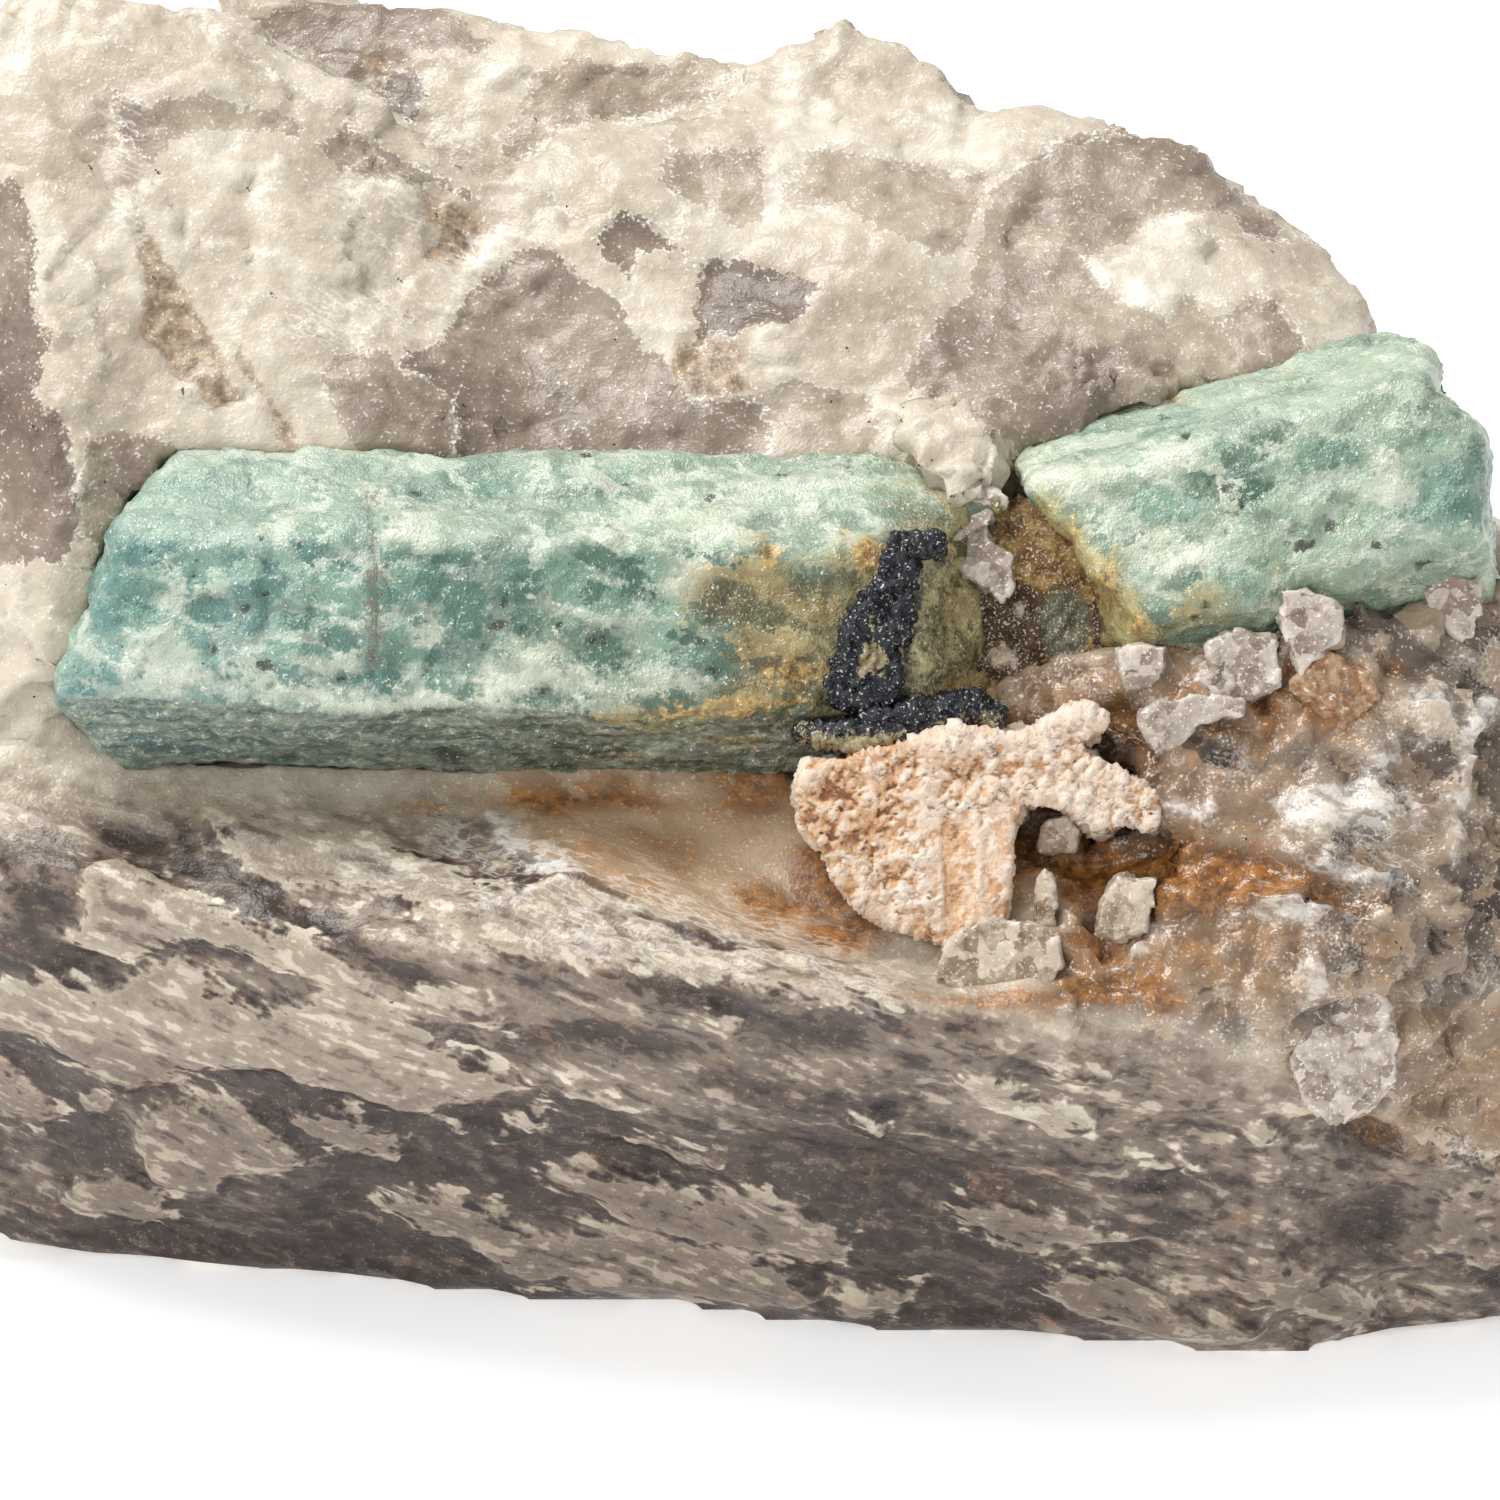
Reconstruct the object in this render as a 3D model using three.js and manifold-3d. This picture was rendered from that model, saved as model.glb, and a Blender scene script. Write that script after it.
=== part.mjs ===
// A hand specimen of smoky and milky quartz that holds an aquamarine crystal, broken into two lengths.
// A crumbly feldspar mass sits below the break. Black tourmaline coats the crystal's end and a seam under it.
// Millimetres, +Z up, +X along the stone. The origin is the middle of the flat spot that it rests on.
import * as THREE from "three";
import { ConvexGeometry } from "three/addons/geometries/ConvexGeometry.js";
import { ImprovedNoise } from "three/addons/math/ImprovedNoise.js";
import { TessellateModifier } from "three/addons/modifiers/TessellateModifier.js";
import { mergeVertices } from "three/addons/utils/BufferGeometryUtils.js";
import Module from "manifold-3d";

const wasm = await Module();
wasm.setup();

// The showing side faces the viewer and leans back. Its points are [across, up, out] in millimetres:
// across runs with +X, up lies in the leaning plane, and out comes off it towards the viewer.
const LEAN = THREE.MathUtils.degToRad(35);
const SHOW_CENTRE = new THREE.Vector3(0, -15, 33);
const VIEW_DISTANCE = 312.5;
const ACROSS = new THREE.Vector3(1, 0, 0);
const UP = new THREE.Vector3(0, Math.sin(LEAN), Math.cos(LEAN));
const OUT = new THREE.Vector3(0, -Math.cos(LEAN), Math.sin(LEAN));

// The aquamarine is a six-sided prism. Its seat leaves a gap all round, and more where a piece broke off.
const CRYSTAL_SIDE = 8.2;
const SEAT_GAP = 0.4;
const BREAK_CLEARANCE = 1.3;

// How deep the smaller minerals are set in, how far they stand out, and where their seats open.
const BED_DEPTH = -4.5;
const BED_BOTTOM = -4.9;
const BED_OPENING = 9;
const FELDSPAR_PROUD = 2.2;
const SEAM_PROUD = 1.6;
const CRUST_THICKNESS = 0.9;
const CRUST_REACH = { deep: -5, proud: 4 };

// The surface that the stone rests on.
const FLOOR_WIDTH = 140;
const FLOOR_DEPTH = 20;

// Relief of the broken surfaces: the longest triangle edge, and how wide and high the lumps are.
const QUARTZ_EDGE = 7;
const QUARTZ_RELIEF = { wavelength: 11, height: 1.1 };
const FACE_DIVISIONS = 3;
const RING_SPACING = 3.2;
const CRYSTAL_RELIEF = { wavelength: 6, height: 0.22 };
const SMALL_EDGE = 2.6;
const SMALL_RELIEF = { wavelength: 2.6, height: 0.35 };
const EDGE_HALVINGS = 40;

// A point of the showing side as a viewer sees it: what stands nearer looks larger, so it is drawn in.
function seen([across, up, out]) {
  const shrink = 1 - out / VIEW_DISTANCE;
  return SHOW_CENTRE.clone()
    .addScaledVector(ACROSS, across * shrink)
    .addScaledVector(UP, up * shrink)
    .addScaledVector(OUT, out);
}

// A point of the back or the base, in the stone's own frame.
function at([x, y, z]) {
  return new THREE.Vector3(x, y, z);
}

// Turns a closed geometry into a solid, with its shared corners merged.
function solidOf(geometry) {
  const bare = new THREE.BufferGeometry();
  const source = geometry.index ? geometry.toNonIndexed() : geometry;
  bare.setAttribute("position", source.getAttribute("position"));
  const merged = mergeVertices(bare, 1e-4);
  return new wasm.Manifold(
    new wasm.Mesh({
      numProp: 3,
      vertProperties: new Float32Array(merged.attributes.position.array),
      triVerts: new Uint32Array(merged.index.array),
    }),
  );
}

// Turns a solid back into an indexed geometry.
function geometryOf(solid) {
  const mesh = solid.getMesh();
  const points = new Float32Array(mesh.numVert * 3);
  for (let i = 0; i < mesh.numVert; i++) {
    points.set(mesh.vertProperties.subarray(i * mesh.numProp, i * mesh.numProp + 3), i * 3);
  }
  const geometry = new THREE.BufferGeometry();
  geometry.setAttribute("position", new THREE.BufferAttribute(points, 3));
  geometry.setIndex(new THREE.BufferAttribute(new Uint32Array(mesh.triVerts), 1));
  return geometry;
}

// A block of stone with flat broken faces: the hull of its corners.
function block(front, back = []) {
  return solidOf(new ConvexGeometry([...front.map(seen), ...back.map(at)]));
}

const noise = new ImprovedNoise();

// Uneven relief of a broken face, from coarse lumps to small ones, between about -1 and 1.
function lumps(point, wavelength) {
  let height = 0;
  let weight = 1;
  let scale = 1 / wavelength;
  for (let octave = 0; octave < 3; octave++) {
    height += weight * noise.noise(point.x * scale, point.y * scale, point.z * scale + 7 * octave);
    weight *= 0.55;
    scale *= 2.1;
  }
  return height;
}

// Moves each corner of a closed geometry along its normal by the relief and the swell.
function relieved(source, { wavelength, height }, swell = 0) {
  const bare = new THREE.BufferGeometry();
  bare.setAttribute("position", source.getAttribute("position"));
  if (source.index) {
    bare.setIndex(source.index);
  }
  const geometry = mergeVertices(bare, 1e-4);
  geometry.computeVertexNormals();
  const places = geometry.getAttribute("position");
  const normals = geometry.getAttribute("normal");
  const point = new THREE.Vector3();
  const normal = new THREE.Vector3();
  for (let i = 0; i < places.count; i++) {
    point.fromBufferAttribute(places, i);
    normal.fromBufferAttribute(normals, i);
    point.addScaledVector(normal, swell + height * lumps(point, wavelength));
    places.setXYZ(i, point.x, point.y, point.z);
  }
  geometry.deleteAttribute("normal");
  return solidOf(geometry);
}

// Cuts long edges down to the given length, then gives the faces their relief.
function roughened(solid, edge, relief, swell = 0) {
  const cut = new TessellateModifier(edge, EDGE_HALVINGS).modify(geometryOf(solid).toNonIndexed());
  return relieved(cut, relief, swell);
}

// The quartz, as blocks that share broken faces.
const CORE_FRONT = [
  [-55, -2, -16], [-47, -4, -8], [-36, -7, -2], [-20, -10, 1.5], [-2, -12.5, 3.5],
  [12, -13.5, 4.5], [26, -12, 4], [37, -9, 1.5], [44, -6, -3], [48, -3, -10],
  [-53, -9, -20], [-44, -13, -13], [-24, -17, -7], [0, -20, -4.5], [20, -21, -4], [36, -19, -5],
  [46, -16, -10],
  [-50, -17, -22], [-37.5, -24.4, -19], [-12, -26.7, -17], [8, -29.2, -14.5], [25, -30.5, -12.5],
  [37, -28.6, -14], [45, -27.4, -15], [49, -18, -16],
  [-48, 18, -16], [-30, 22, -18], [0, 24, -18], [25, 18, -16], [42, 8, -12],
];
const CORE_BACK = [
  [-51, 14, 30], [-49, 24, 14], [-20, 36, 36], [-16, 41, 14], [18, 35, 32], [24, 37, 11],
  [42, 20, 24], [44, 20, 9], [-43, 22, 4], [40, 16, 2],
];
// The lowest part of the underside, which the floor cuts flat.
const UNDERSIDE = [
  [-22, -9, -2.2], [-6, -13, -2.2], [16, -16, -2.2], [27, -13, -2.2], [34, 3, -2.2], [24, 21, -2.2],
  [0, 26, -2.2], [-18, 24, -2.2], [-28, 8, -2.2],
];
const LEFT_FACE = [
  [-33, 14, -5.5], [-22, 14, -5], [-10, 13, -6.5], [-33, 38, -11], [-25.5, 37, -13],
  [-20.5, 33.9, -13.5], [-17, 31.2, -13.5], [-12.5, 28.5, -13], [-33, 34, -24], [-20, 27, -24],
  [-12, 22, -22], [-33, 3, -12], [-10, 3, -12],
];
const LEFT_WALL = [
  [-55, 4, -17], [-51, 18, -15], [-45, 30, -13], [-38, 36.8, -11], [-33.5, 39.5, -12.5],
  [-31.7, 33, -10.3], [-31, 26, -8.7], [-22.5, 15.3, -4.9], [-23, 13, -5.4], [-34, 14, -3.2],
  [-36, 24, -5.5], [-35, 3, -3.5], [-45, -3, -7], [-49, 18, -28],
  [-36, 34, -25], [-31, 36, -22], [-32, 8, -20],
];
const BACK_RIDGE = [
  [-27, 38.6, -26], [-20.7, 37.5, -26], [-17, 36.9, -26], [-12.5, 35.6, -26], [-6, 35.2, -25],
  [-1, 34.4, -24], [3, 33.4, -23], [-24, 26, -20], [-2, 22, -17], [-26, 26, -36], [-14, 31, -37],
  [0, 28, -35], [-24, 8, -30], [0, 8, -30],
];
const MIDDLE_FACE = [
  [-12.5, 28.3, -12.5], [-11.2, 29.7, -13.5], [-9.5, 31, -14.5], [-5.5, 31.6, -15.5],
  [0, 33, -17], [6, 31, -15.5], [12, 27, -12.5], [-10, 14, -6.5], [5, 14, -5.5], [12.5, 15, -5.5],
  [-10, 3, -12], [12, 3, -12], [-8, 24, -24], [8, 24, -24],
];
const HUMP = [
  [-0.5, 34.4, -19], [1.5, 35.2, -19.5], [4.7, 36.3, -20], [7.2, 35.2, -20], [9.4, 34, -19],
  [10.6, 32.6, -18.5], [13, 30, -17], [-2, 29, -15], [6, 26, -13], [12, 25, -13], [2, 30, -28],
  [9, 29, -28], [0, 20, -24], [12, 18, -24],
];
const RIGHT_FACE = [
  [10.8, 32.3, -18], [14.3, 32.5, -18], [18.4, 30.9, -17.5], [21, 30.3, -17], [24, 28.3, -16.5],
  [26.4, 26.2, -15.5], [28.7, 25.1, -15], [30.5, 23.3, -13.5], [31.6, 20.8, -12], [9, 19, -7],
  [12.5, 15, -5.8], [21.5, 17, -6.2], [31, 19, -8.5], [12, 3, -12], [33, 8, -14], [13, 27, -30],
  [24, 22, -28], [31, 16, -24],
];
const RIGHT_SHOULDER = [
  [13, 4.6, -2.6], [20, 5.2, -0.6], [26.5, 6.9, -0.8], [32, 9, -1.8], [37.5, 9, -4], [43, 7, -8],
  [47, -2, -8], [37, -9, 1.5], [26, -12, 4], [12, -13.3, 4], [8, -4, -2], [14, -2, -16],
  [37, 4, -20], [44, 4, -16],
];
const BRIGHT_BLOCKS = [
  [[26.8, 7.6, -0.6], [28.8, 8.1, 0.6], [29.8, 6.5, 0.9], [28.7, 4.6, 0.9], [26.6, 4.9, 0.6], [28, 6, -4]],
  [[18.3, 5.3, 0.4], [20.6, 5.6, 0.4], [20.8, 3.4, 0.7], [18.6, 3, 0.8], [19.5, 4, -4]],
  [[19.5, 2.4, 0.6], [22, 3, 1.2], [24.8, 1.2, 1.4], [23.5, 0, 1.6], [20.4, -0.6, 1.4], [22, 1, -3]],
];
const PALE_PLATE = [
  [6, 17.5, -4], [7.2, 18.6, -4.6], [10, 18.2, -4.4], [12.4, 16, -2.6], [12.3, 13.6, -1.2],
  [10.8, 12.4, -0.4], [9.5, 12.8, 0.2], [8.4, 14.2, -0.6], [6.6, 15, -2.4], [8, 17, -8], [12, 14, -8],
];
// The space before the ledge under the crystal, and the smooth hollow around the feldspar.
const LEDGE_SPACE = [
  [-37, 1, -6.6], [-20, -1.6, -6.6], [-6, -1.6, -6.2], [3, 0, -3.5], [-36, -6.6, -1.6], [-20, -9.6, 1.8],
  [-3, -6, 1], [-30, 16, 12], [-4, 12, 12], [3, 2, 10], [-36, 2, 12],
];
const FELDSPAR_HOLLOW = [
  [-10, -2.2, -5.8], [-3, -0.6, -4.6], [3.5, 0.9, -2], [9, 1.6, -1], [14, 1.2, -1.4], [20, -1.4, -1.5],
  [-9, -5.5, -0.6], [3, -10, 1.7], [14, -12, 2.6], [21, -9, 2], [0, 2, 14], [14, 2, 14], [0, -8, 14],
  [16, -9, 14],
];

// A prism of six sides around an axis on the showing side. The face that shows is tipped up by faceTurn.
function crystalPrism({ middle, slope, faceTurn, length }, swell) {
  const shape = new THREE.Shape();
  for (let point = 0; point < 6 * FACE_DIVISIONS; point++) {
    const corner = Math.floor(point / FACE_DIVISIONS);
    const part = (point % FACE_DIVISIONS) / FACE_DIVISIONS;
    const from = faceTurn + THREE.MathUtils.degToRad(60 * corner - 30);
    const to = faceTurn + THREE.MathUtils.degToRad(60 * corner + 30);
    const x = CRYSTAL_SIDE * THREE.MathUtils.lerp(Math.sin(from), Math.sin(to), part);
    const y = CRYSTAL_SIDE * THREE.MathUtils.lerp(Math.cos(from), Math.cos(to), part);
    if (point === 0) {
      shape.moveTo(x, y);
    } else {
      shape.lineTo(x, y);
    }
  }
  const steps = Math.round(length / RING_SPACING);
  const geometry = new THREE.ExtrudeGeometry(shape, { depth: length, steps, bevelEnabled: false });
  geometry.translate(0, 0, -length / 2);
  const along = new THREE.Vector3()
    .addScaledVector(ACROSS, Math.cos(slope))
    .addScaledVector(UP, Math.sin(slope));
  const upright = new THREE.Vector3().crossVectors(OUT, along).normalize();
  geometry.applyMatrix4(new THREE.Matrix4().makeBasis(upright, OUT, along).setPosition(seen(middle)));
  return relieved(geometry, CRYSTAL_RELIEF, swell);
}

const LONG_CRYSTAL = {
  middle: [-10.8, 6.8, -6.1],
  slope: THREE.MathUtils.degToRad(-0.8),
  faceTurn: THREE.MathUtils.degToRad(-6.4),
  length: 47.6,
};
const SHORT_CRYSTAL = {
  middle: [24.5, 10.6, -7],
  slope: THREE.MathUtils.degToRad(15.5),
  faceTurn: THREE.MathUtils.degToRad(7.8),
  length: 28,
};

// What the breaks took off each length: an outline that is cut right through, or a block's corners.
const NEAR = 8;
const FAR = -18;
function through(outline) {
  return outline.flatMap(([across, up]) => [[across, up, NEAR], [across, up, FAR]]);
}
const LONG_BREAKS = [
  through([[-28, 15.9], [-31.3, 12.4], [-33.2, 9], [-42, 9], [-42, 18], [-28, 18]]),
  through([[-31.3, 12.4], [-33.2, 8.4], [-33.1, 6.4], [-34.3, 4], [-42, 4], [-42, 12.4]]),
  through([[-34.7, 2.5], [-33, 0.3], [-29.8, -1.6], [-27, -4], [-42, -4], [-42, 2.5]]),
  [[7.6, 12, 2.4], [7.4, 0, 2.4], [12.3, 12, -4.5], [12.3, 0, -4.5], [20, 12, -4.5], [20, 0, -4.5],
    [16, 12, 6], [16, 0, 6]],
  [[6, 16.5, 0], [6, 14.6, -6], [12.6, 11.2, -4], [12.6, 11.2, -14], [6, 16.8, -14], [20, 17, -14],
    [20, 17, 0], [20, 11, -4], [20, 11, -14]],
];
const SHORT_BREAKS = [
  [[11.5, 16, 3], [20.3, 5.4, 3], [4, 18, 3], [4, -2, 3], [20.3, -2, 3], [11.3, 16, -2], [13.6, 4, -6.5],
    [4, 18, -16], [4, -2, -16], [12.5, -2, -16], [12, 16, -16]],
  through([[6, 4.8], [14, 3.4], [20.3, 5.2], [23, 4.4], [23, -4], [6, -4]]),
  through([[30.8, 21.7], [33.9, 19.3], [50, 14], [50, 30], [30, 30]]),
  through([[33.9, 19.4], [34, 17.7], [36.4, 15.6], [50, 12], [50, 19.4]]),
  through([[36.4, 15.7], [37, 12], [37.4, 4], [50, 4], [50, 15.7]]),
];

const FELDSPAR_OUTLINE = [
  [2.5, -2], [3, -1], [5, -0.5], [6, 0], [7.8, 0.2], [10.5, 1], [12.5, 0.8], [14.5, 0.6], [15, 1.5],
  [16.8, 1.9], [17.5, 1.6], [16.4, 0.4], [17.6, -1], [19.6, -1.8], [20.3, -2.2], [20.2, -3.7], [18.6, -3.4],
  [17.5, -3.9], [16.3, -3], [15.4, -2.5], [13.6, -2.5], [13, -4], [12.8, -6], [12.8, -8], [12, -9.7],
  [10.4, -9.9], [9, -9.5], [7.4, -8.7], [6, -8], [4.8, -7], [3.8, -5], [2.8, -3.6],
];
const CRUST_OUTLINE = [
  [7.2, 10.6], [9.4, 10.6], [9.6, 10], [8.2, 9.7], [8.3, 8.8], [7.9, 7.8], [8.2, 7], [7.9, 5.6], [7, 5.4],
  [7.4, 4.2], [7.4, 2.5], [6.2, 2.3], [4.4, 2.2], [4, 3.1], [4.5, 4.8], [4.7, 5.8], [5.3, 7], [6.4, 8.4],
  [6.8, 9.4],
];
const SEAM_OUTLINE = [
  [2.6, 0.8], [5.3, 1.5], [7.6, 2], [9.4, 2.4], [11.3, 2.5], [12.3, 1.7], [12.2, 1.2], [10.2, 1.5],
  [7.8, 0.7], [5, 0.2],
];

// A slab whose outline is given on the showing side, from one depth to another.
function slab(outline, deep, proud) {
  const shape = new THREE.Shape(outline.map(([across, up]) => new THREE.Vector2(across, up)));
  const geometry = new THREE.ExtrudeGeometry(shape, { depth: proud - deep, bevelEnabled: false });
  geometry.translate(0, 0, deep);
  const places = geometry.getAttribute("position");
  for (let i = 0; i < places.count; i++) {
    const point = seen([places.getX(i), places.getY(i), places.getZ(i)]);
    places.setXYZ(i, point.x, point.y, point.z);
  }
  return solidOf(geometry);
}

// Everything below the surface that the stone rests on, to be cut away.
function belowTheFloor() {
  const floor = new THREE.BoxGeometry(FLOOR_WIDTH, FLOOR_WIDTH, FLOOR_DEPTH);
  floor.translate(0, 0, -FLOOR_DEPTH / 2);
  return solidOf(floor);
}

function quartzBody() {
  let body = block(CORE_FRONT, [...CORE_BACK, ...UNDERSIDE]);
  for (const face of [LEFT_FACE, LEFT_WALL, BACK_RIDGE, MIDDLE_FACE, HUMP, RIGHT_FACE, RIGHT_SHOULDER]) {
    body = body.add(block(face));
  }
  body = body.subtract(block(LEDGE_SPACE)).subtract(block(FELDSPAR_HOLLOW));
  for (const small of [...BRIGHT_BLOCKS, PALE_PLATE]) {
    body = body.add(block(small));
  }
  return roughened(body, QUARTZ_EDGE, QUARTZ_RELIEF).subtract(belowTheFloor());
}

// A missing piece, drawn back from the crystal's middle so that the seat stays clear of the broken end.
function drawnBack(missing, [middleAcross, middleUp], distance) {
  const across = missing.reduce((sum, point) => sum + point[0], 0) / missing.length - middleAcross;
  const up = missing.reduce((sum, point) => sum + point[1], 0) / missing.length - middleUp;
  const step = distance / Math.hypot(across, up);
  return missing.map((point) => [point[0] + across * step, point[1] + up * step, point[2]]);
}

// A broken length of crystal. Grown by a swell, it is the seat that the crystal lies in.
function crystalBody(placing, breaks, swell = 0) {
  let body = crystalPrism(placing, swell);
  for (const missing of breaks) {
    body = body.subtract(block(drawnBack(missing, placing.middle, BREAK_CLEARANCE * swell)));
  }
  return body;
}

// The largest of a solid's separate bodies, which drops loose crumbs that a cut leaves.
function mainBody(solid) {
  return solid.decompose().reduce((best, one) => (one.volume() > best.volume() ? one : best));
}

const longCrystal = crystalBody(LONG_CRYSTAL, LONG_BREAKS);
const longSeat = crystalBody(LONG_CRYSTAL, LONG_BREAKS, SEAT_GAP);
const shortCrystal = crystalBody(SHORT_CRYSTAL, SHORT_BREAKS).subtract(longSeat);
const shortSeat = crystalBody(SHORT_CRYSTAL, SHORT_BREAKS, SEAT_GAP);

function smallMineral(outline, deep, proud, swell = 0) {
  return roughened(slab(outline, deep, proud), SMALL_EDGE, SMALL_RELIEF, swell);
}

const feldsparSeat = smallMineral(FELDSPAR_OUTLINE, BED_BOTTOM, BED_OPENING, SEAT_GAP);
const seamSeat = smallMineral(SEAM_OUTLINE, BED_BOTTOM, BED_OPENING, SEAT_GAP);
const feldspar = smallMineral(FELDSPAR_OUTLINE, BED_DEPTH, FELDSPAR_PROUD)
  .subtract(longSeat)
  .subtract(shortSeat)
  .subtract(seamSeat);
const seam = smallMineral(SEAM_OUTLINE, BED_DEPTH, SEAM_PROUD)
  .subtract(longSeat)
  .subtract(shortSeat);

const crustSurface = crystalBody(LONG_CRYSTAL, LONG_BREAKS, SEAT_GAP + CRUST_THICKNESS);
const crust = slab(CRUST_OUTLINE, CRUST_REACH.deep, CRUST_REACH.proud)
  .intersect(crustSurface)
  .subtract(longSeat)
  .subtract(seamSeat);

const quartz = quartzBody()
  .subtract(longSeat)
  .subtract(shortSeat)
  .subtract(feldsparSeat)
  .subtract(seamSeat);

const stone = new THREE.Group();

function addPiece(name, solid, colour, roughness) {
  const material = new THREE.MeshStandardMaterial({ color: colour, roughness, flatShading: true });
  const mesh = new THREE.Mesh(geometryOf(mainBody(solid)), material);
  mesh.name = name;
  stone.add(mesh);
}

addPiece("quartz_matrix", quartz, 0xb9afa4, 0.35);
addPiece("aquamarine_long", longCrystal, 0x8fc4b7, 0.35);
addPiece("aquamarine_short", shortCrystal, 0x9fc4ac, 0.35);
addPiece("feldspar_mass", feldspar, 0xe9cdb4, 0.8);
addPiece("tourmaline_crust", crust, 0x1c2027, 0.4);
addPiece("tourmaline_seam", seam, 0x1c2027, 0.4);

export default stone;
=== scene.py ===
"""A stone of milky and smoky quartz that holds a broken aquamarine crystal, feldspar and black tourmaline."""
import math

import bmesh
import bpy
import numpy as np
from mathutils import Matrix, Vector
from mathutils.bvhtree import BVHTree


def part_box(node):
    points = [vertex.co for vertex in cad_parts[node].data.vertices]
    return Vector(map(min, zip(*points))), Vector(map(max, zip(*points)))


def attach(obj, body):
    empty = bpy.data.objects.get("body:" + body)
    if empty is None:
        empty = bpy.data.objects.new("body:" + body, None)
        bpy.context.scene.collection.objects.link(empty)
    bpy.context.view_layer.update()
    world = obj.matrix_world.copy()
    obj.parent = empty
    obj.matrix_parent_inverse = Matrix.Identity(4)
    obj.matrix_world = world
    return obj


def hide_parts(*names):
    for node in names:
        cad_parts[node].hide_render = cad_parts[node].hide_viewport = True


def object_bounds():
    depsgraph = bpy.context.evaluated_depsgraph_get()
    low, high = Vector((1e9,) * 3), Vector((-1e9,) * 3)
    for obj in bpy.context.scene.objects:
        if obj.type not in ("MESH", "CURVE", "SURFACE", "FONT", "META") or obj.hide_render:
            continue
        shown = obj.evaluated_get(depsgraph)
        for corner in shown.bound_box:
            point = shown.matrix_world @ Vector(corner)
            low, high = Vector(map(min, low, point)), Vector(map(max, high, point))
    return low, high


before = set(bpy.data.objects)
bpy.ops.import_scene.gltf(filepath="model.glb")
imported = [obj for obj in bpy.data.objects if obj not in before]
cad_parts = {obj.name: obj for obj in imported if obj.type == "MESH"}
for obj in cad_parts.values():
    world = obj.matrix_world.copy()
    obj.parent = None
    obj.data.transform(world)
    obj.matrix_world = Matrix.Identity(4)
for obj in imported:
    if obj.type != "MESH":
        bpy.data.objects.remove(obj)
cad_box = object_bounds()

MM = 0.001
# The showing side faces the viewer and leans back. Places on it are (across, up) in millimetres, as in the
# model, and OUT is the way towards the viewer.
LEAN = math.radians(35)
SHOW_CENTRE = np.array([0.0, -0.015, 0.033])
VIEW_DISTANCE = 0.3125
ACROSS = np.array([1.0, 0.0, 0.0])
UP = np.array([0.0, math.sin(LEAN), math.cos(LEAN)])
OUT = np.array([0.0, -math.cos(LEAN), math.sin(LEAN)])
# Outlines are drawn on a sheet laid over the showing side, in twentieths of a millimetre, right and down from
# its upper left corner. The sheet's middle, 750, 750, is the middle of the showing side.
SHEET_SCALE = 20
SHEET_MIDDLE = 750


def by_run(full):
    return full


QUARTZ_GRAIN = by_run(0.83) * MM
CRYSTAL_GRAIN = by_run(0.24) * MM
CRYSTAL_ROUNDS = by_run(45)
FELDSPAR_GRAIN = by_run(0.15) * MM
TOURMALINE_GRAIN = by_run(0.12) * MM
CHIP_GRAIN = by_run(0.16) * MM
RUSTY_CHIP_GRAIN = by_run(0.2) * MM


# Relief fields for mesh points, in millimetres.

def hashed(cells, seed):
    """A random number from 0 to 1 for each whole-number cell."""
    x, y, z = (cells[:, i].astype(np.int64).astype(np.uint32) for i in range(3))
    h = x * np.uint32(73856093) ^ y * np.uint32(19349663) ^ z * np.uint32(83492791)
    h ^= np.uint32(seed * 2654435761 % 2**32)
    h ^= h >> np.uint32(15)
    h *= np.uint32(2246822519)
    h ^= h >> np.uint32(13)
    h *= np.uint32(3266489917)
    h ^= h >> np.uint32(16)
    return h / 4294967295.0


def soft_noise(points, size, seed):
    """Smooth noise from -1 to 1 whose lumps are about size across."""
    scaled = points / size
    low = np.floor(scaled)
    part = scaled - low
    part = part * part * (3 - 2 * part)
    total = np.zeros(len(points))
    for corner in np.ndindex(2, 2, 2):
        weight = np.prod(np.where(np.array(corner), part, 1 - part), axis=1)
        total += weight * hashed(low + corner, seed)
    return 2 * total - 1


def rough_noise(points, size, seed, octaves=4):
    """Soft noise with finer and lower layers on it."""
    total = np.zeros(len(points))
    for octave in range(octaves):
        total += soft_noise(points, size / 2**octave, seed + octave) * 0.55**octave
    return total


def wobbled(points, most, size, seed):
    """Points pushed about by noise."""
    return points + most * rough_noise(points, size, seed)[:, None]


def cells(points, size, seed):
    """The distance to the nearest seed point, in sizes, its random number and the way from it."""
    scaled = points / size
    low = np.floor(scaled)
    near = np.full(len(points), 9.0)
    chance = np.zeros(len(points))
    way = np.zeros_like(points)
    for step in np.ndindex(3, 3, 3):
        cell = low + np.array(step) - 1
        spot = cell + np.stack([hashed(cell, seed + k) for k in (11, 23, 37)], axis=1)
        offset = scaled - spot
        distance = np.sqrt((offset**2).sum(axis=1))
        closer = distance < near
        chance = np.where(closer, hashed(cell, seed + 51), chance)
        way = np.where(closer[:, None], offset, way)
        near = np.where(closer, distance, near)
    return near, chance, way


def scallops(points, size, seed):
    """Shell-shaped dents with sharp ridges between them, as quartz breaks, from 0 in a dent to 1."""
    near, _, _ = cells(points, size, seed)
    return np.minimum(near * near * 1.6, 1.2)


def tilted(chance, way):
    """The height of a flat face that tilts its own way in each cell."""
    turn = chance * 2 * math.pi
    tilt = np.stack([np.cos(turn), np.sin(turn), np.cos(3 * turn)], axis=1)
    return (way * tilt).sum(axis=1)


def facets(points, size, seed):
    """Small flat faces that each tilt their own way, from about -1 to 1."""
    _, chance, way = cells(points, size, seed)
    return tilted(chance, way)


def broken_blocks(points, size, seed):
    """Blocks with flat tilted tops and steps between them, from about -1 to 1."""
    _, chance, way = cells(points, size, seed)
    return 0.8 * tilted(chance, way) + 0.9 * (chance - 0.5)


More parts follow.
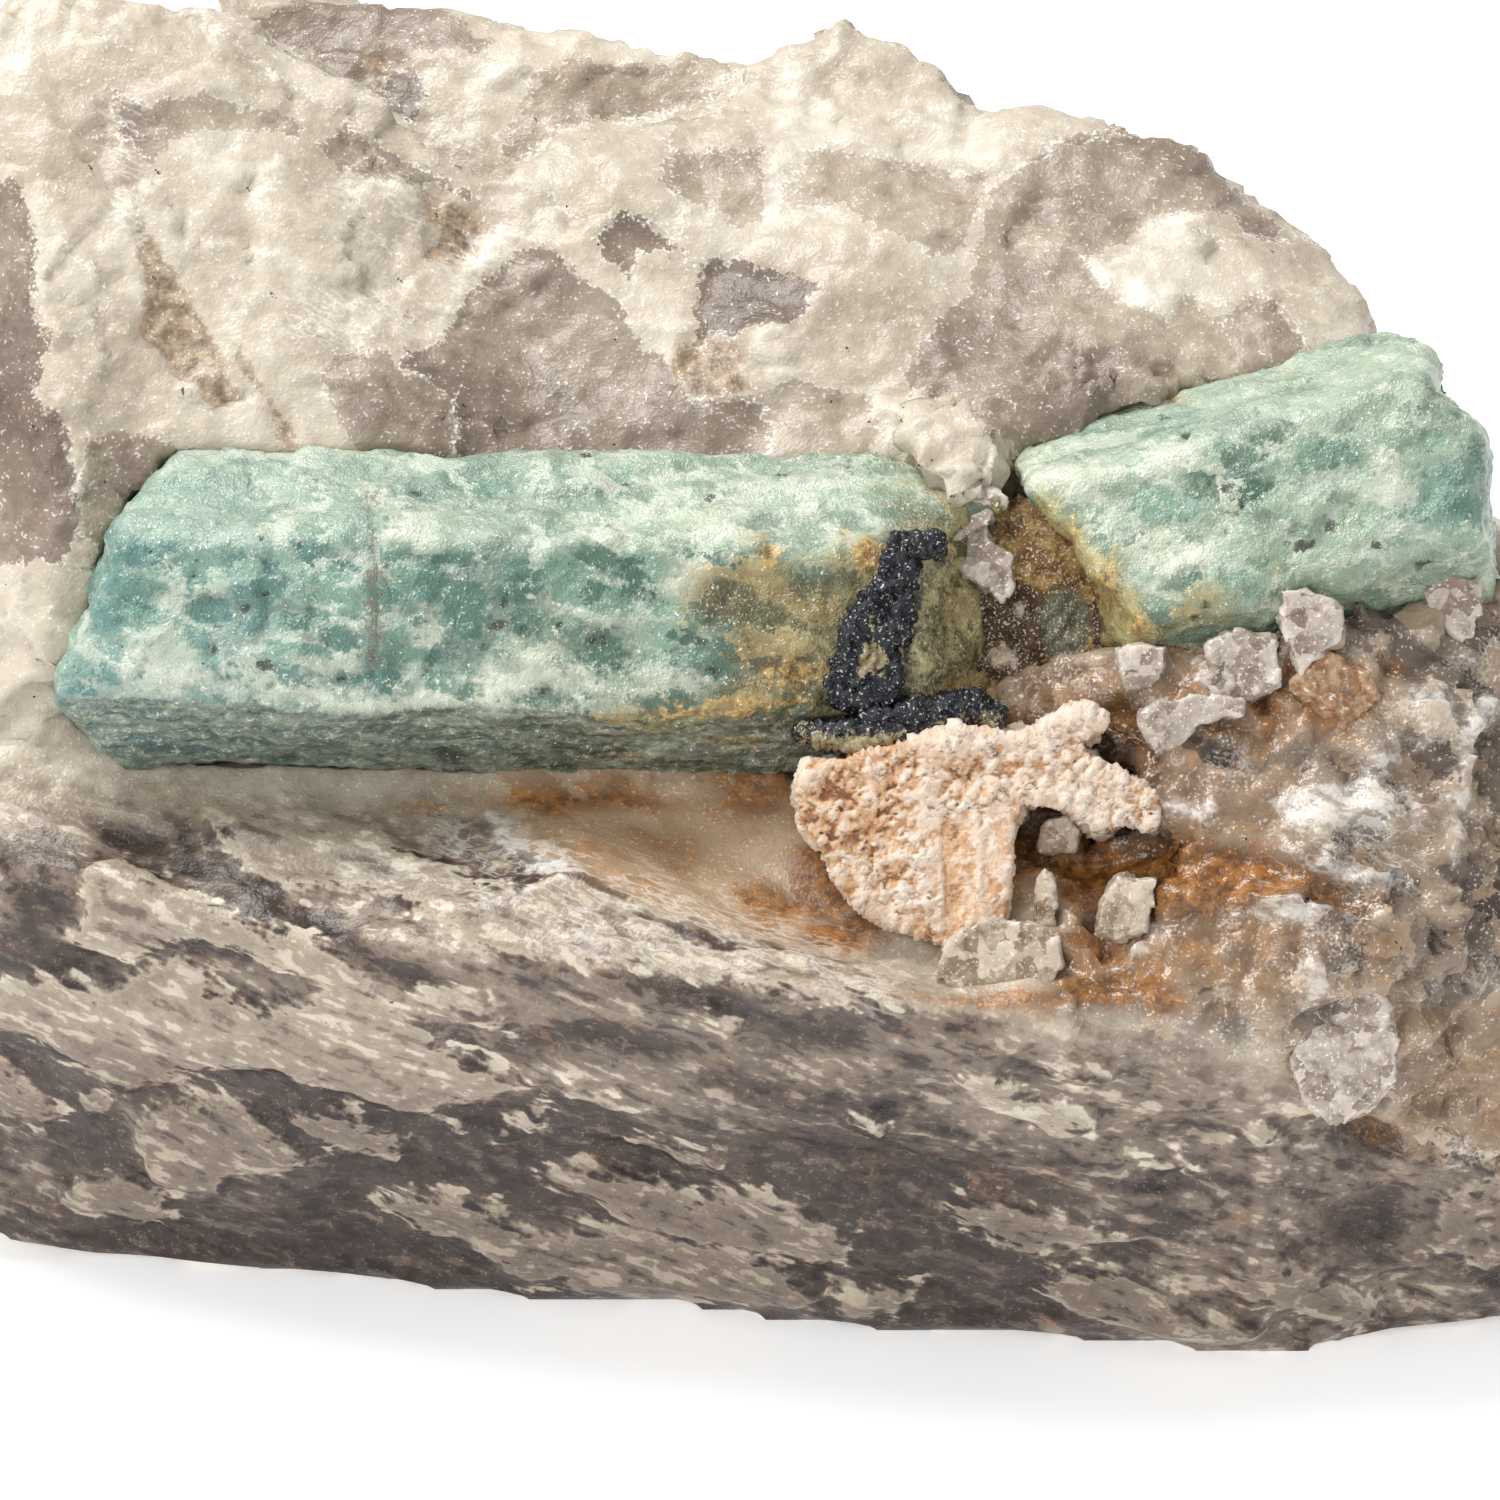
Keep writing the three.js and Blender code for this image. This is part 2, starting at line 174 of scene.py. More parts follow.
def crumbs(points, size, seed, dome, step):
    """Grains with domed tops, some a step higher than others."""
    near, chance, _ = cells(points, size, seed)
    return dome * (0.7 - near) + step * (chance - 0.5)


# Places on the showing side.

def on_showing_side(points):
    """Points in metres as (across, up) seen from the viewer and the depth, in millimetres."""
    offset = points - SHOW_CENTRE
    out = offset @ OUT
    grow = 1 / (1 - out / VIEW_DISTANCE)
    return np.stack([offset @ ACROSS * grow, offset @ UP * grow], axis=1) / MM, out / MM


def drawn_along(places, depth, angle, stretch):
    """Places squeezed along a direction, so that the noise made from them comes out drawn along it."""
    along = places[:, 0] * math.cos(angle) + places[:, 1] * math.sin(angle)
    over = places[:, 1] * math.cos(angle) - places[:, 0] * math.sin(angle)
    return np.stack([along / stretch, over, depth], axis=1)


def sheet(points):
    """Sheet positions as (across, up) in millimetres."""
    right, down = np.array(points, float).T
    return np.stack([(right - SHEET_MIDDLE) / SHEET_SCALE, (SHEET_MIDDLE - down) / SHEET_SCALE], axis=1)


def line_height(places, line):
    """How high a line across the sheet runs at each place."""
    across, up = sheet(line).T
    return np.interp(places[:, 0], across, up)


def inside_by(places, outline):
    """How far each place lies inside an outline on the sheet, in millimetres: less than nothing outside."""
    outline = sheet(outline)
    nearest = np.full(len(places), 1e9)
    inside = np.zeros(len(places), bool)
    x, y = places[:, 0], places[:, 1]
    for (x0, y0), (x1, y1) in zip(outline, np.roll(outline, -1, axis=0)):
        dx, dy = x1 - x0, y1 - y0
        part = np.clip(((x - x0) * dx + (y - y0) * dy) / (dx * dx + dy * dy + 1e-9), 0, 1)
        nearest = np.minimum(nearest, np.hypot(x - x0 - part * dx, y - y0 - part * dy))
        crossing = (y0 > y) != (y1 > y)
        inside ^= crossing & (x < x0 + (y - y0) / np.where(dy == 0, 1e-9, dy) * dx)
    return np.where(inside, nearest, -nearest)


def deepest(places, outlines, facing, far=-6.0):
    """How far each place is inside the nearest of several outlines, on the showing side alone."""
    field = np.full(len(places), far)
    for outline in outlines:
        field = np.maximum(field, inside_by(places, outline))
    return np.where(facing, field, far)


def blobs(places, spots, facing):
    """Soft spots on the sheet, the strongest at each place: right, down, half sizes and strength."""
    field = np.zeros(len(places))
    for right, down, wide, high, strength in spots:
        across, up = sheet([(right, down)])[0]
        offset = (places - (across, up)) * SHEET_SCALE / (wide, high)
        field = np.maximum(field, strength * np.exp(-(offset**2).sum(axis=1)))
    return np.where(facing, field, 0)


def on_sheet(right, down, out):
    """A point of the showing side in metres, from its sheet position and its depth in millimetres."""
    across, up = sheet([(right, down)])[0]
    shrink = 1 - out * MM / VIEW_DISTANCE
    return SHOW_CENTRE + (ACROSS * across * shrink + UP * up * shrink + OUT * out) * MM


# Meshes.

def vectors_of(items, name):
    flat = np.zeros(len(items) * 3, np.float32)
    items.foreach_get(name, flat)
    return flat.reshape(-1, 3).astype(float)


class Skin:
    """The points of a piece's mesh in metres, and where each of them shows, in millimetres."""

    def __init__(self, piece):
        self.mesh = piece.data
        self.points = vectors_of(self.mesh.vertices, "co")
        self.normals = vectors_of(self.mesh.vertex_normals, "vector")
        self.places, self.depth = on_showing_side(self.points)
        self.spot = self.points / MM

    def facing(self, least):
        """Which points face the viewer by more than least, where 1 is straight at them."""
        return self.normals @ OUT > least

    def raised(self, relief):
        return self.points + self.normals * (relief * MM)[:, None]

    def put(self, points):
        """Moves the points, and keeps them inside the box that the CAD parts fill."""
        points = np.clip(points, *np.array(cad_box))
        self.mesh.vertices.foreach_set("co", points.astype(np.float32).ravel())
        self.mesh.update()

    def keep(self, fields):
        """Stores a number by name on each point, for the shaders."""
        for name, values in fields.items():
            field = self.mesh.attributes.new(name, "FLOAT", "POINT")
            field.data.foreach_set("value", values.astype(np.float32))


def smooth_shaded(mesh):
    mesh.polygons.foreach_set("use_smooth", [True] * len(mesh.polygons))


def evened(name, mesh, grain, rounds=0):
    """A new piece with an even mesh of the given grain in metres and rounded edges."""
    piece = bpy.data.objects.new(name, mesh)
    bpy.context.scene.collection.objects.link(piece)
    remesh = piece.modifiers.new("even", "REMESH")
    remesh.mode = "VOXEL"
    remesh.voxel_size = grain
    if rounds:
        soften = piece.modifiers.new("rounded", "SMOOTH")
        soften.factor = 0.5
        soften.iterations = rounds
    bpy.context.view_layer.update()
    shape = bpy.data.meshes.new_from_object(piece.evaluated_get(bpy.context.evaluated_depsgraph_get()))
    piece.modifiers.clear()
    piece.data = shape
    shape.name = name
    shape.materials.clear()
    smooth_shaded(shape)
    return piece


def fine_copy(node, name, grain, rounds=0):
    """A new piece in the shape of a CAD node."""
    return evened(name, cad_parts[node].data.copy(), grain, rounds)


def split_shown_faces(mesh, reach=40 * MM):
    """Halves the grain of the mesh where it faces the viewer, within reach of the middle."""
    fine = bmesh.new()
    fine.from_mesh(mesh)
    fine.normal_update()
    shown = [face for face in fine.faces
             if face.normal.dot(Vector(OUT)) > 0.05 and abs(face.calc_center_median().x) < reach]
    edges = {edge for face in shown for edge in face.edges}
    bmesh.ops.subdivide_edges(fine, edges=list(edges), cuts=1, use_grid_fill=True)
    bmesh.ops.triangulate(fine, faces=[face for face in fine.faces if len(face.verts) > 4])
    fine.to_mesh(mesh)
    fine.free()
    smooth_shaded(mesh)


def surface_of(*names):
    """One tree of the surfaces of several CAD nodes, to measure distances to."""
    corners, faces = [], []
    for name in names:
        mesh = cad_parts[name].data
        start = len(corners)
        corners += [v.co.copy() for v in mesh.vertices]
        faces += [[start + i for i in face.vertices] for face in mesh.polygons]
    return BVHTree.FromPolygons(corners, faces)


def depth_at(tree, right, down):
    """How far out the surface is that the viewer sees at a sheet position, in millimetres."""
    start = on_sheet(right, down, 40)
    ray = on_sheet(right, down, 0) - start
    spot, _, _, _ = tree.ray_cast(Vector(start), Vector(ray).normalized())
    return (np.array(spot) - SHOW_CENTRE) @ OUT / MM


def drawn_to(points, normals, tree, reach, most):
    """Moves points towards a near surface that they face, so that grown-together minerals meet."""
    moved = points.copy()
    for i, (point, normal) in enumerate(zip(points, normals)):
        spot, _, _, distance = tree.find_nearest(Vector(point), reach)
        if spot is None:
            continue
        way = np.array(spot) - point
        if way @ normal > 0:
            moved[i] = point + way * min(1.0, most / max(distance, 1e-9))
    return moved


def chip(name, outline, deep, proud, tilt, grain, rounds):
    """A small block with an outline on the sheet, from one depth to another, its front tilted both ways."""
    middle = np.mean(outline, axis=0)
    front = []
    for right, down in outline:
        lift = ((right - middle[0]) * tilt[0] + (middle[1] - down) * tilt[1]) / SHEET_SCALE
        front.append(on_sheet(right, down, proud + lift))
    back = [on_sheet(right, down, deep) for right, down in outline]
    count = len(outline)
    faces = [list(range(count)), list(range(2 * count - 1, count - 1, -1))]
    faces += [[i, i + count, (i + 1) % count + count, (i + 1) % count] for i in range(count)]
    mesh = bpy.data.meshes.new(name)
    mesh.from_pydata([tuple(v) for v in front + back], [], faces)
    solid = bmesh.new()
    solid.from_mesh(mesh)
    bmesh.ops.recalc_face_normals(solid, faces=solid.faces)
    solid.to_mesh(mesh)
    solid.free()
    return evened(name, mesh, grain, rounds)


def finish_piece(piece, material, slot, *nodes):
    piece.data.materials.append(material)
    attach(piece, "root")
    if nodes:
        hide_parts(*nodes)


# Shader maths.

class Shade:
    """A shader socket that can stand in a Python expression."""

    def __init__(self, paint, socket):
        self.paint = paint
        self.socket = socket

    def __add__(self, other):
        return self.paint.maths("ADD", self, other)

    def __sub__(self, other):
        return self.paint.maths("SUBTRACT", self, other)

    def __rsub__(self, other):
        return self.paint.maths("SUBTRACT", other, self)

    def __mul__(self, other):
        return self.paint.maths("MULTIPLY", self, other)

    def __gt__(self, other):
        return self.paint.maths("GREATER_THAN", self, other)

    def __lt__(self, other):
        return self.paint.maths("LESS_THAN", self, other)

    __radd__ = __add__
    __rmul__ = __mul__


class Paint:
    """A material under construction, with the place it colours in millimetres."""

    def __init__(self, name):
        self.material = bpy.data.materials.new(name)
        self.material.use_nodes = True
        self.tree = self.material.node_tree
        self.tree.nodes.clear()
        place = self.node("TexCoord", out="Object")
        self.place = self.scaled(place, 1 / MM)
        offset = self.vector("SUBTRACT", self.place, tuple(SHOW_CENTRE / MM))
        self.across, self.up, self.depth = (
            self.node("VectorMath", {"operation": "DOT_PRODUCT"}, {0: offset, 1: tuple(axis)}, out="Value")
            for axis in (ACROSS, UP, OUT))

    def put(self, socket, value):
        if isinstance(value, Shade):
            self.tree.links.new(value.socket, socket)
        else:
            socket.default_value = value

    def node(self, kind, settings=None, inputs=None, out=0):
        """A new node with its settings, a ramp's stops among them, and then what goes into its sockets."""
        node = self.tree.nodes.new("ShaderNode" + kind)
        for key, value in (settings or {}).items():
            if key == "stops":
                set_stops(node.color_ramp.elements, value)
            else:
                setattr(node, key, value)
        for key, value in (inputs or {}).items():
            self.put(node.inputs[key], value)
        return Shade(self, node.outputs[out]) if node.outputs else None

    def maths(self, operation, one, two=0.0):
        return self.node("Math", {"operation": operation}, {0: one, 1: two})

    def vector(self, operation, one, two):
        return self.node("VectorMath", {"operation": operation}, {0: one, 1: two})

    def scaled(self, vector, scale):
        return self.node("VectorMath", {"operation": "SCALE"}, {0: vector, "Scale": scale})

    def joined(self, x, y, z):
        return self.node("CombineXYZ", {}, {0: x, 1: y, 2: z})

    def turned(self, angle):
        """The places along a direction on the showing side, and across it."""
        along = self.across * math.cos(angle) + self.up * math.sin(angle)
        return along, self.up * math.cos(angle) - self.across * math.sin(angle)

    def field(self, name):
        return self.node("Attribute", {"attribute_name": name}, out="Fac")

    def noise(self, size, detail=4.0, rough=0.55, place=None):
        inputs = {"Vector": place or self.place, "Scale": 1 / size, "Detail": detail, "Roughness": rough}
        return self.node("TexNoise", {}, inputs)

    def warped(self, size, most):
        """The place pushed about by noise, for borders that wander."""
        inputs = {"Vector": self.place, "Scale": 1 / size, "Detail": 2.0}
        push = self.vector("SUBTRACT", self.node("TexNoise", {}, inputs, out="Color"), (0.5, 0.5, 0.5))
        return self.vector("ADD", self.place, self.scaled(push, most))

    def cells(self, size, place):
        """The distance to the nearest seed point, in sizes, and that seed's random number."""
        distance = self.node("TexVoronoi", {}, {"Vector": place, "Scale": 1 / size}, out="Distance")
        colour = Shade(self, distance.socket.node.outputs["Color"])
        return distance, self.node("SeparateXYZ", {}, {0: colour})

    def ramp(self, value, stops):
        """A colour that follows a value from 0 to 1 through the stops."""
        return self.node("ValToRGB", {"stops": stops}, {0: value})

    def step(self, value, low, high):
        """0 below low and 1 above high, softly from one to the other."""
        inputs = {"Value": value, "From Min": low, "From Max": high}
        return self.node("MapRange", {"interpolation_type": "SMOOTHSTEP"}, inputs)

    def crisp(self, name, edge, soft):
        """1 inside the patches of a name and 0 outside, with the edge noise on their borders."""
        return self.step(self.field(name) + edge, -soft, soft)

    def mix(self, share, one, two):
        """Two colours mixed by a share from 0 to 1, each a socket or as it looks on screen, 0 to 255."""
        inputs = {"Factor": share, 6: on_screen(one), 7: on_screen(two)}
        return self.node("Mix", {"data_type": "RGBA", "clamp_factor": True}, inputs, out=2)

    def bump(self, height, distance, strength):
        return self.node("Bump", {}, {"Height": height, "Distance": distance, "Strength": strength})

    def surface(self, **inputs):
        inputs = {name.replace("_", " "): value for name, value in inputs.items()}
        self.node("OutputMaterial", {}, {"Surface": self.node("BsdfPrincipled", {}, inputs)})
        return self.material


def set_stops(elements, stops):
    """Gives a ramp its colours, each at its place from 0 to 1."""
    for element, (position, colour) in zip([elements[0], elements[1]], stops):
        element.position = position
        element.color = on_screen(colour)
    for position, colour in stops[2:]:
        elements.new(position).color = on_screen(colour)


def on_screen(colour):
    """A colour as it looks on screen, 0 to 255, in the numbers that a shader takes."""
    if isinstance(colour, Shade):
        return colour
    return tuple(((c / 255 + 0.055) / 1.055) ** 2.4 if c > 10 else c / 255 / 12.92 for c in colour) + (1,)


# The quartz. Its slope is streaked along this angle on the showing side.

STREAK_ANGLE = math.radians(-24)
SMOKY = [
    [(500, 271), (519, 252), (548, 249), (580, 277), (618, 297), (628, 319), (640, 345), (655, 350),
     (672, 365), (690, 398), (760, 402), (775, 430), (760, 470), (640, 480), (456, 480), (458, 430),
     (455, 400), (430, 380), (400, 370), (410, 350), (440, 340), (455, 320), (470, 290)],
    [(697, 300), (700, 262), (717, 252), (761, 265), (812, 277), (815, 300), (790, 330), (760, 325),
     (735, 335), (710, 330), (692, 345)],
    [(599, 242), (621, 217), (653, 223), (682, 252), (660, 246), (640, 252), (628, 277), (605, 258)],
    [(0, 180), (20, 185), (35, 240), (30, 300), (45, 340), (35, 400), (62, 420), (75, 470), (80, 540),
     (60, 562), (-60, 562), (-60, 180)],
    [(395, 62), (425, 80), (422, 118), (408, 125), (392, 108), (380, 92)],
]
DEEP_SMOKE = [
    [(255, 20), (300, -5), (335, -8), (383, -5), (446, 20), (492, 45), (480, 60), (420, 50), (395, 70),
     (385, 95), (330, 75), (290, 50), (270, 40)],
    [(930, 340), (1000, 330), (1060, 330), (1100, 345), (1180, 350), (1260, 360), (1120, 425), (1000, 440),
     (950, 395), (905, 385)],
    [(560, 300), (600, 296), (622, 320), (632, 350), (600, 345), (570, 330)],
    [(520, 380), (560, 378), (590, 395), (570, 412), (530, 408)],
    [(1150, 143), (1200, 165), (1250, 200), (1225, 203), (1190, 180)],
]
HAZY = [
    [(500, 168), (520, 100), (540, 75), (570, 60), (640, 65), (690, 55), (738, 70), (722, 95), (680, 105),
     (640, 115), (600, 120), (560, 130), (530, 155)],
    [(985, 205), (1000, 185), (1061, 147), (1098, 138), (1150, 136), (1172, 140), (1198, 155), (1230, 178),
     (1255, 200), (1277, 219), (1290, 245), (1240, 235), (1235, 215), (1180, 213), (1140, 225), (1130, 240),
     (1085, 255), (1095, 270), (1110, 290), (1140, 305), (1165, 315), (1175, 300), (1190, 293), (1200, 305),
     (1215, 310), (1235, 308), (1250, 297), (1262, 295), (1280, 315), (1305, 345), (1265, 370), (1200, 395),
     (1120, 420), (1010, 450), (985, 415), (960, 395), (935, 390), (905, 385), (902, 376), (920, 345),
     (940, 320), (950, 305), (965, 300), (975, 252)],
    [(777, 188), (800, 170), (819, 143), (860, 150), (900, 160), (988, 178), (975, 215), (965, 245),
     (940, 255), (900, 240), (870, 225), (840, 200), (800, 212)],
    [(330, 355), (345, 350), (390, 350), (400, 370), (450, 385), (456, 430), (440, 470), (370, 470),
     (340, 420), (320, 380)],
    [(320, 150), (340, 130), (380, 145), (430, 170), (470, 190), (480, 205), (430, 182), (400, 185),
     (350, 175)],
    [(665, 155), (760, 150), (765, 215), (740, 225), (690, 205), (660, 190)],
    [(690, 402), (800, 380), (870, 395), (875, 440), (880, 480), (760, 480), (770, 440)],
    [(85, 440), (120, 432), (200, 440), (190, 470), (130, 520), (95, 560), (78, 520)],
    [(110, 90), (150, 110), (200, 95), (290, 118), (300, 135), (230, 128), (190, 135), (150, 160),
     (120, 130)],
]
UMBER = [
    [(137, 217), (150, 230), (166, 255), (191, 297), (210, 325), (223, 360), (238, 399), (230, 411),
     (204, 399), (191, 383), (175, 379), (166, 357), (150, 344), (140, 332), (150, 287), (140, 255)],
    [(223, 338), (242, 354), (271, 399), (290, 415), (300, 443), (287, 440), (265, 402), (245, 375)],
    [(421, 182), (453, 198), (488, 226), (475, 252), (456, 266), (430, 252), (440, 233), (427, 207)],
    [(668, 370), (679, 344), (707, 332), (746, 344), (739, 367), (752, 389), (720, 399), (698, 399),
     (680, 385)],
    [(104, 108), (112, 100), (112, 150), (106, 152)], [(365, 60), (392, 55), (390, 80), (372, 78)],
]
PALE = [
    [(525, 156), (560, 131), (596, 124), (640, 118), (672, 118), (670, 160), (672, 190), (690, 215),
     (680, 240), (650, 222), (620, 215), (600, 225), (560, 205), (530, 190), (500, 175)],
    [(745, 60), (781, 46), (819, 28), (844, 22), (867, 30), (895, 45), (924, 52), (942, 70), (960, 98),
     (990, 103), (1035, 97), (1054, 109), (1080, 117), (1117, 125), (1150, 137), (1061, 147), (1000, 185),
     (985, 175), (900, 160), (860, 145), (825, 140), (800, 170), (770, 185), (762, 140), (740, 110)],
    [(1083, 258), (1130, 258), (1140, 240), (1180, 215), (1207, 218), (1200, 235), (1230, 245), (1240, 235),
     (1300, 238), (1322, 244), (1344, 260), (1360, 281), (1367, 303), (1375, 330), (1310, 350), (1285, 315),
     (1262, 293), (1235, 305), (1220, 300), (1195, 290), (1180, 295), (1175, 312), (1160, 315), (1130, 300),
     (1105, 285), (1090, 270)],
    [(30, 250), (60, 240), (100, 280), (110, 300), (75, 335), (50, 332), (30, 290)],
    [(195, 8), (215, 10), (250, 30), (300, 60), (355, 88), (395, 108), (415, 130), (440, 152), (430, 168),
     (380, 140), (330, 110), (290, 85), (255, 62), (230, 40)],
    [(425, 70), (480, 62), (520, 75), (535, 95), (505, 130), (470, 150), (440, 140), (430, 110)],
    [(700, 95), (745, 72), (752, 110), (720, 115)],
]
FROST = [
    [(1028, 245), (1035, 232), (1055, 230), (1075, 235), (1077, 247), (1062, 255), (1050, 265),
     (1035, 258)],
    [(777, 287), (785, 283), (798, 286), (794, 291), (782, 292)],
    [(752, 335), (775, 325), (795, 335), (798, 352), (788, 362), (795, 375), (780, 388), (762, 378),
     (750, 362)],
    [(345, 187), (375, 180), (400, 185), (420, 180), (422, 212), (410, 215), (400, 200), (375, 195),
     (355, 205)],
    [(470, 250), (500, 230), (525, 240), (520, 250), (500, 262), (480, 270), (465, 290), (455, 315),
     (448, 310), (460, 280)],
    [(318, 325), (345, 328), (370, 315), (397, 300), (378, 322), (350, 336), (322, 332)],
    [(100, 30), (130, 3), (165, -4), (182, 5), (150, 15), (120, 37)],
    [(12, 45), (28, 42), (33, 65), (22, 70)],
    [(118, 160), (125, 180), (132, 215), (130, 240), (120, 215), (114, 190)],
    [(80, 440), (88, 440), (92, 480), (85, 520), (80, 565), (76, 520), (82, 480)],
    [(1083, 258), (1105, 262), (1130, 280), (1150, 288), (1172, 285), (1178, 296), (1172, 313), (1158, 315),
     (1130, 300), (1105, 285)],
    [(1150, 225), (1180, 214), (1208, 217), (1200, 230), (1175, 228), (1155, 238)],
    [(255, 168), (292, 158), (285, 165), (262, 180)],
    [(790, 75), (815, 85), (812, 105), (795, 130), (775, 120), (785, 95)],
    [(765, 195), (785, 185), (815, 200), (822, 225), (800, 228), (780, 215)],
]
LIGHT_PLATES = [
    [(0, 985), (60, 975), (110, 990), (160, 960), (190, 955), (210, 985), (260, 1005), (300, 1000),
     (325, 985), (310, 975), (275, 950), (250, 930), (280, 925), (320, 940), (360, 960), (380, 985),
     (398, 1003), (430, 1008), (445, 1025), (440, 1035), (455, 1050), (490, 1065), (510, 1075), (540, 1080),
     (520, 1088), (470, 1100), (430, 1105), (405, 1108), (380, 1100), (340, 1090), (310, 1080), (280, 1070),
     (240, 1065), (215, 1062), (190, 1072), (150, 1085), (120, 1085), (95, 1070), (60, 1050), (40, 1035),
     (-80, 1010), (-80, 985)],
    [(75, 1100), (90, 1087), (110, 1095), (112, 1112), (90, 1113)],
    [(-80, 1040), (0, 1060), (20, 1075), (50, 1100), (62, 1115), (45, 1125), (20, 1120), (-80, 1100)],
    [(135, 1115), (170, 1100), (215, 1095), (250, 1105), (255, 1120), (285, 1130), (300, 1150), (295, 1168),
     (270, 1172), (245, 1170), (225, 1178), (230, 1190), (170, 1190), (150, 1180), (155, 1160),
     (140, 1145)],
    [(60, 1205), (75, 1185), (110, 1175), (150, 1185), (165, 1195), (160, 1210), (175, 1222), (140, 1225),
     (90, 1215)],
    [(285, 1110), (350, 1105), (370, 1130), (400, 1145), (395, 1165), (350, 1150), (310, 1142),
     (290, 1125)],
    [(375, 1205), (410, 1190), (450, 1192), (500, 1205), (520, 1225), (560, 1235), (620, 1225), (700, 1235),
     (750, 1245), (790, 1262), (822, 1290), (800, 1305), (700, 1295), (660, 1312), (620, 1295), (590, 1302),
     (560, 1280), (530, 1287), (500, 1265), (470, 1245), (430, 1235), (400, 1220)],
    [(540, 1175), (570, 1163), (620, 1165), (680, 1185), (700, 1195), (750, 1185), (800, 1200), (850, 1240),
     (845, 1260), (800, 1250), (750, 1240), (700, 1235), (650, 1225), (620, 1212), (600, 1200),
     (560, 1185)],
    [(625, 1135), (660, 1135), (700, 1145), (720, 1160), (680, 1158), (640, 1145)],
    [(555, 1080), (580, 1078), (620, 1095), (640, 1105), (600, 1100), (560, 1090)],
    [(405, 990), (440, 985), (470, 990), (500, 1005), (510, 1025), (480, 1015), (450, 1000)],
    [(200, 810), (260, 800), (350, 825), (380, 820), (400, 850), (430, 860), (480, 880), (520, 885),
     (585, 870), (600, 890), (640, 905), (660, 930), (700, 945), (750, 950), (820, 950), (900, 975),
     (960, 990), (1050, 1012), (1000, 1015), (920, 1010), (850, 1000), (750, 1000), (700, 985), (640, 965),
     (590, 975), (560, 960), (500, 960), (470, 955), (450, 930), (400, 905), (350, 890), (290, 895),
     (250, 880), (220, 840)],
    [(80, 870), (120, 860), (160, 880), (200, 900), (250, 920), (290, 950), (310, 970), (280, 965),
     (230, 950), (200, 940), (170, 950), (130, 960), (90, 950), (50, 935), (75, 930), (85, 910)],
    [(960, 1075), (985, 1065), (1015, 1080), (1030, 1095), (1065, 1105), (1095, 1115), (1085, 1130),
     (1060, 1135), (1030, 1120), (1000, 1110), (975, 1095)],
    [(1240, 1132), (1255, 1122), (1275, 1125), (1277, 1138), (1258, 1146)],
    [(1290, 1060), (1330, 1000), (1360, 950), (1375, 970), (1390, 1010), (1400, 1050), (1390, 1090),
     (1370, 1110), (1340, 1125), (1320, 1120), (1290, 1100), (1280, 1080)],
    [(950, 1200), (1000, 1200), (1040, 1210), (1090, 1225), (1130, 1235), (1080, 1240), (1050, 1245),
     (1030, 1255), (1000, 1245), (970, 1230)],
    [(1040, 1290), (1060, 1270), (1120, 1265), (1170, 1285), (1180, 1310), (1230, 1320), (1270, 1330),
     (1230, 1345), (1180, 1340), (1130, 1320), (1080, 1310)],
    [(1220, 1275), (1270, 1250), (1320, 1270), (1360, 1295), (1385, 1315), (1350, 1330), (1300, 1310),
     (1250, 1300)],
    [(840, 1300), (880, 1290), (920, 1290), (900, 1310), (850, 1315)],
    [(1220, 1075), (1250, 1065), (1265, 1072), (1240, 1080)],
    [(1140, 1160), (1180, 1162), (1190, 1170), (1160, 1172)],
    [(1050, 1065), (1090, 1060), (1110, 1068), (1080, 1075)],
    [(690, 1005), (710, 1000), (745, 1025), (730, 1030)],
    [(850, 1105), (870, 1108), (890, 1122), (875, 1128)],
    [(450, 1125), (462, 1122), (464, 1133), (452, 1134)],
    [(525, 1110), (540, 1105), (545, 1122), (530, 1128)],
    [(492, 1132), (506, 1130), (508, 1139), (494, 1140)],
    [(1420, 1130), (1500, 1120), (1560, 1130), (1560, 1160), (1440, 1150)],
    [(1440, 1190), (1500, 1170), (1560, 1170), (1560, 1230), (1480, 1260), (1430, 1240)],
]
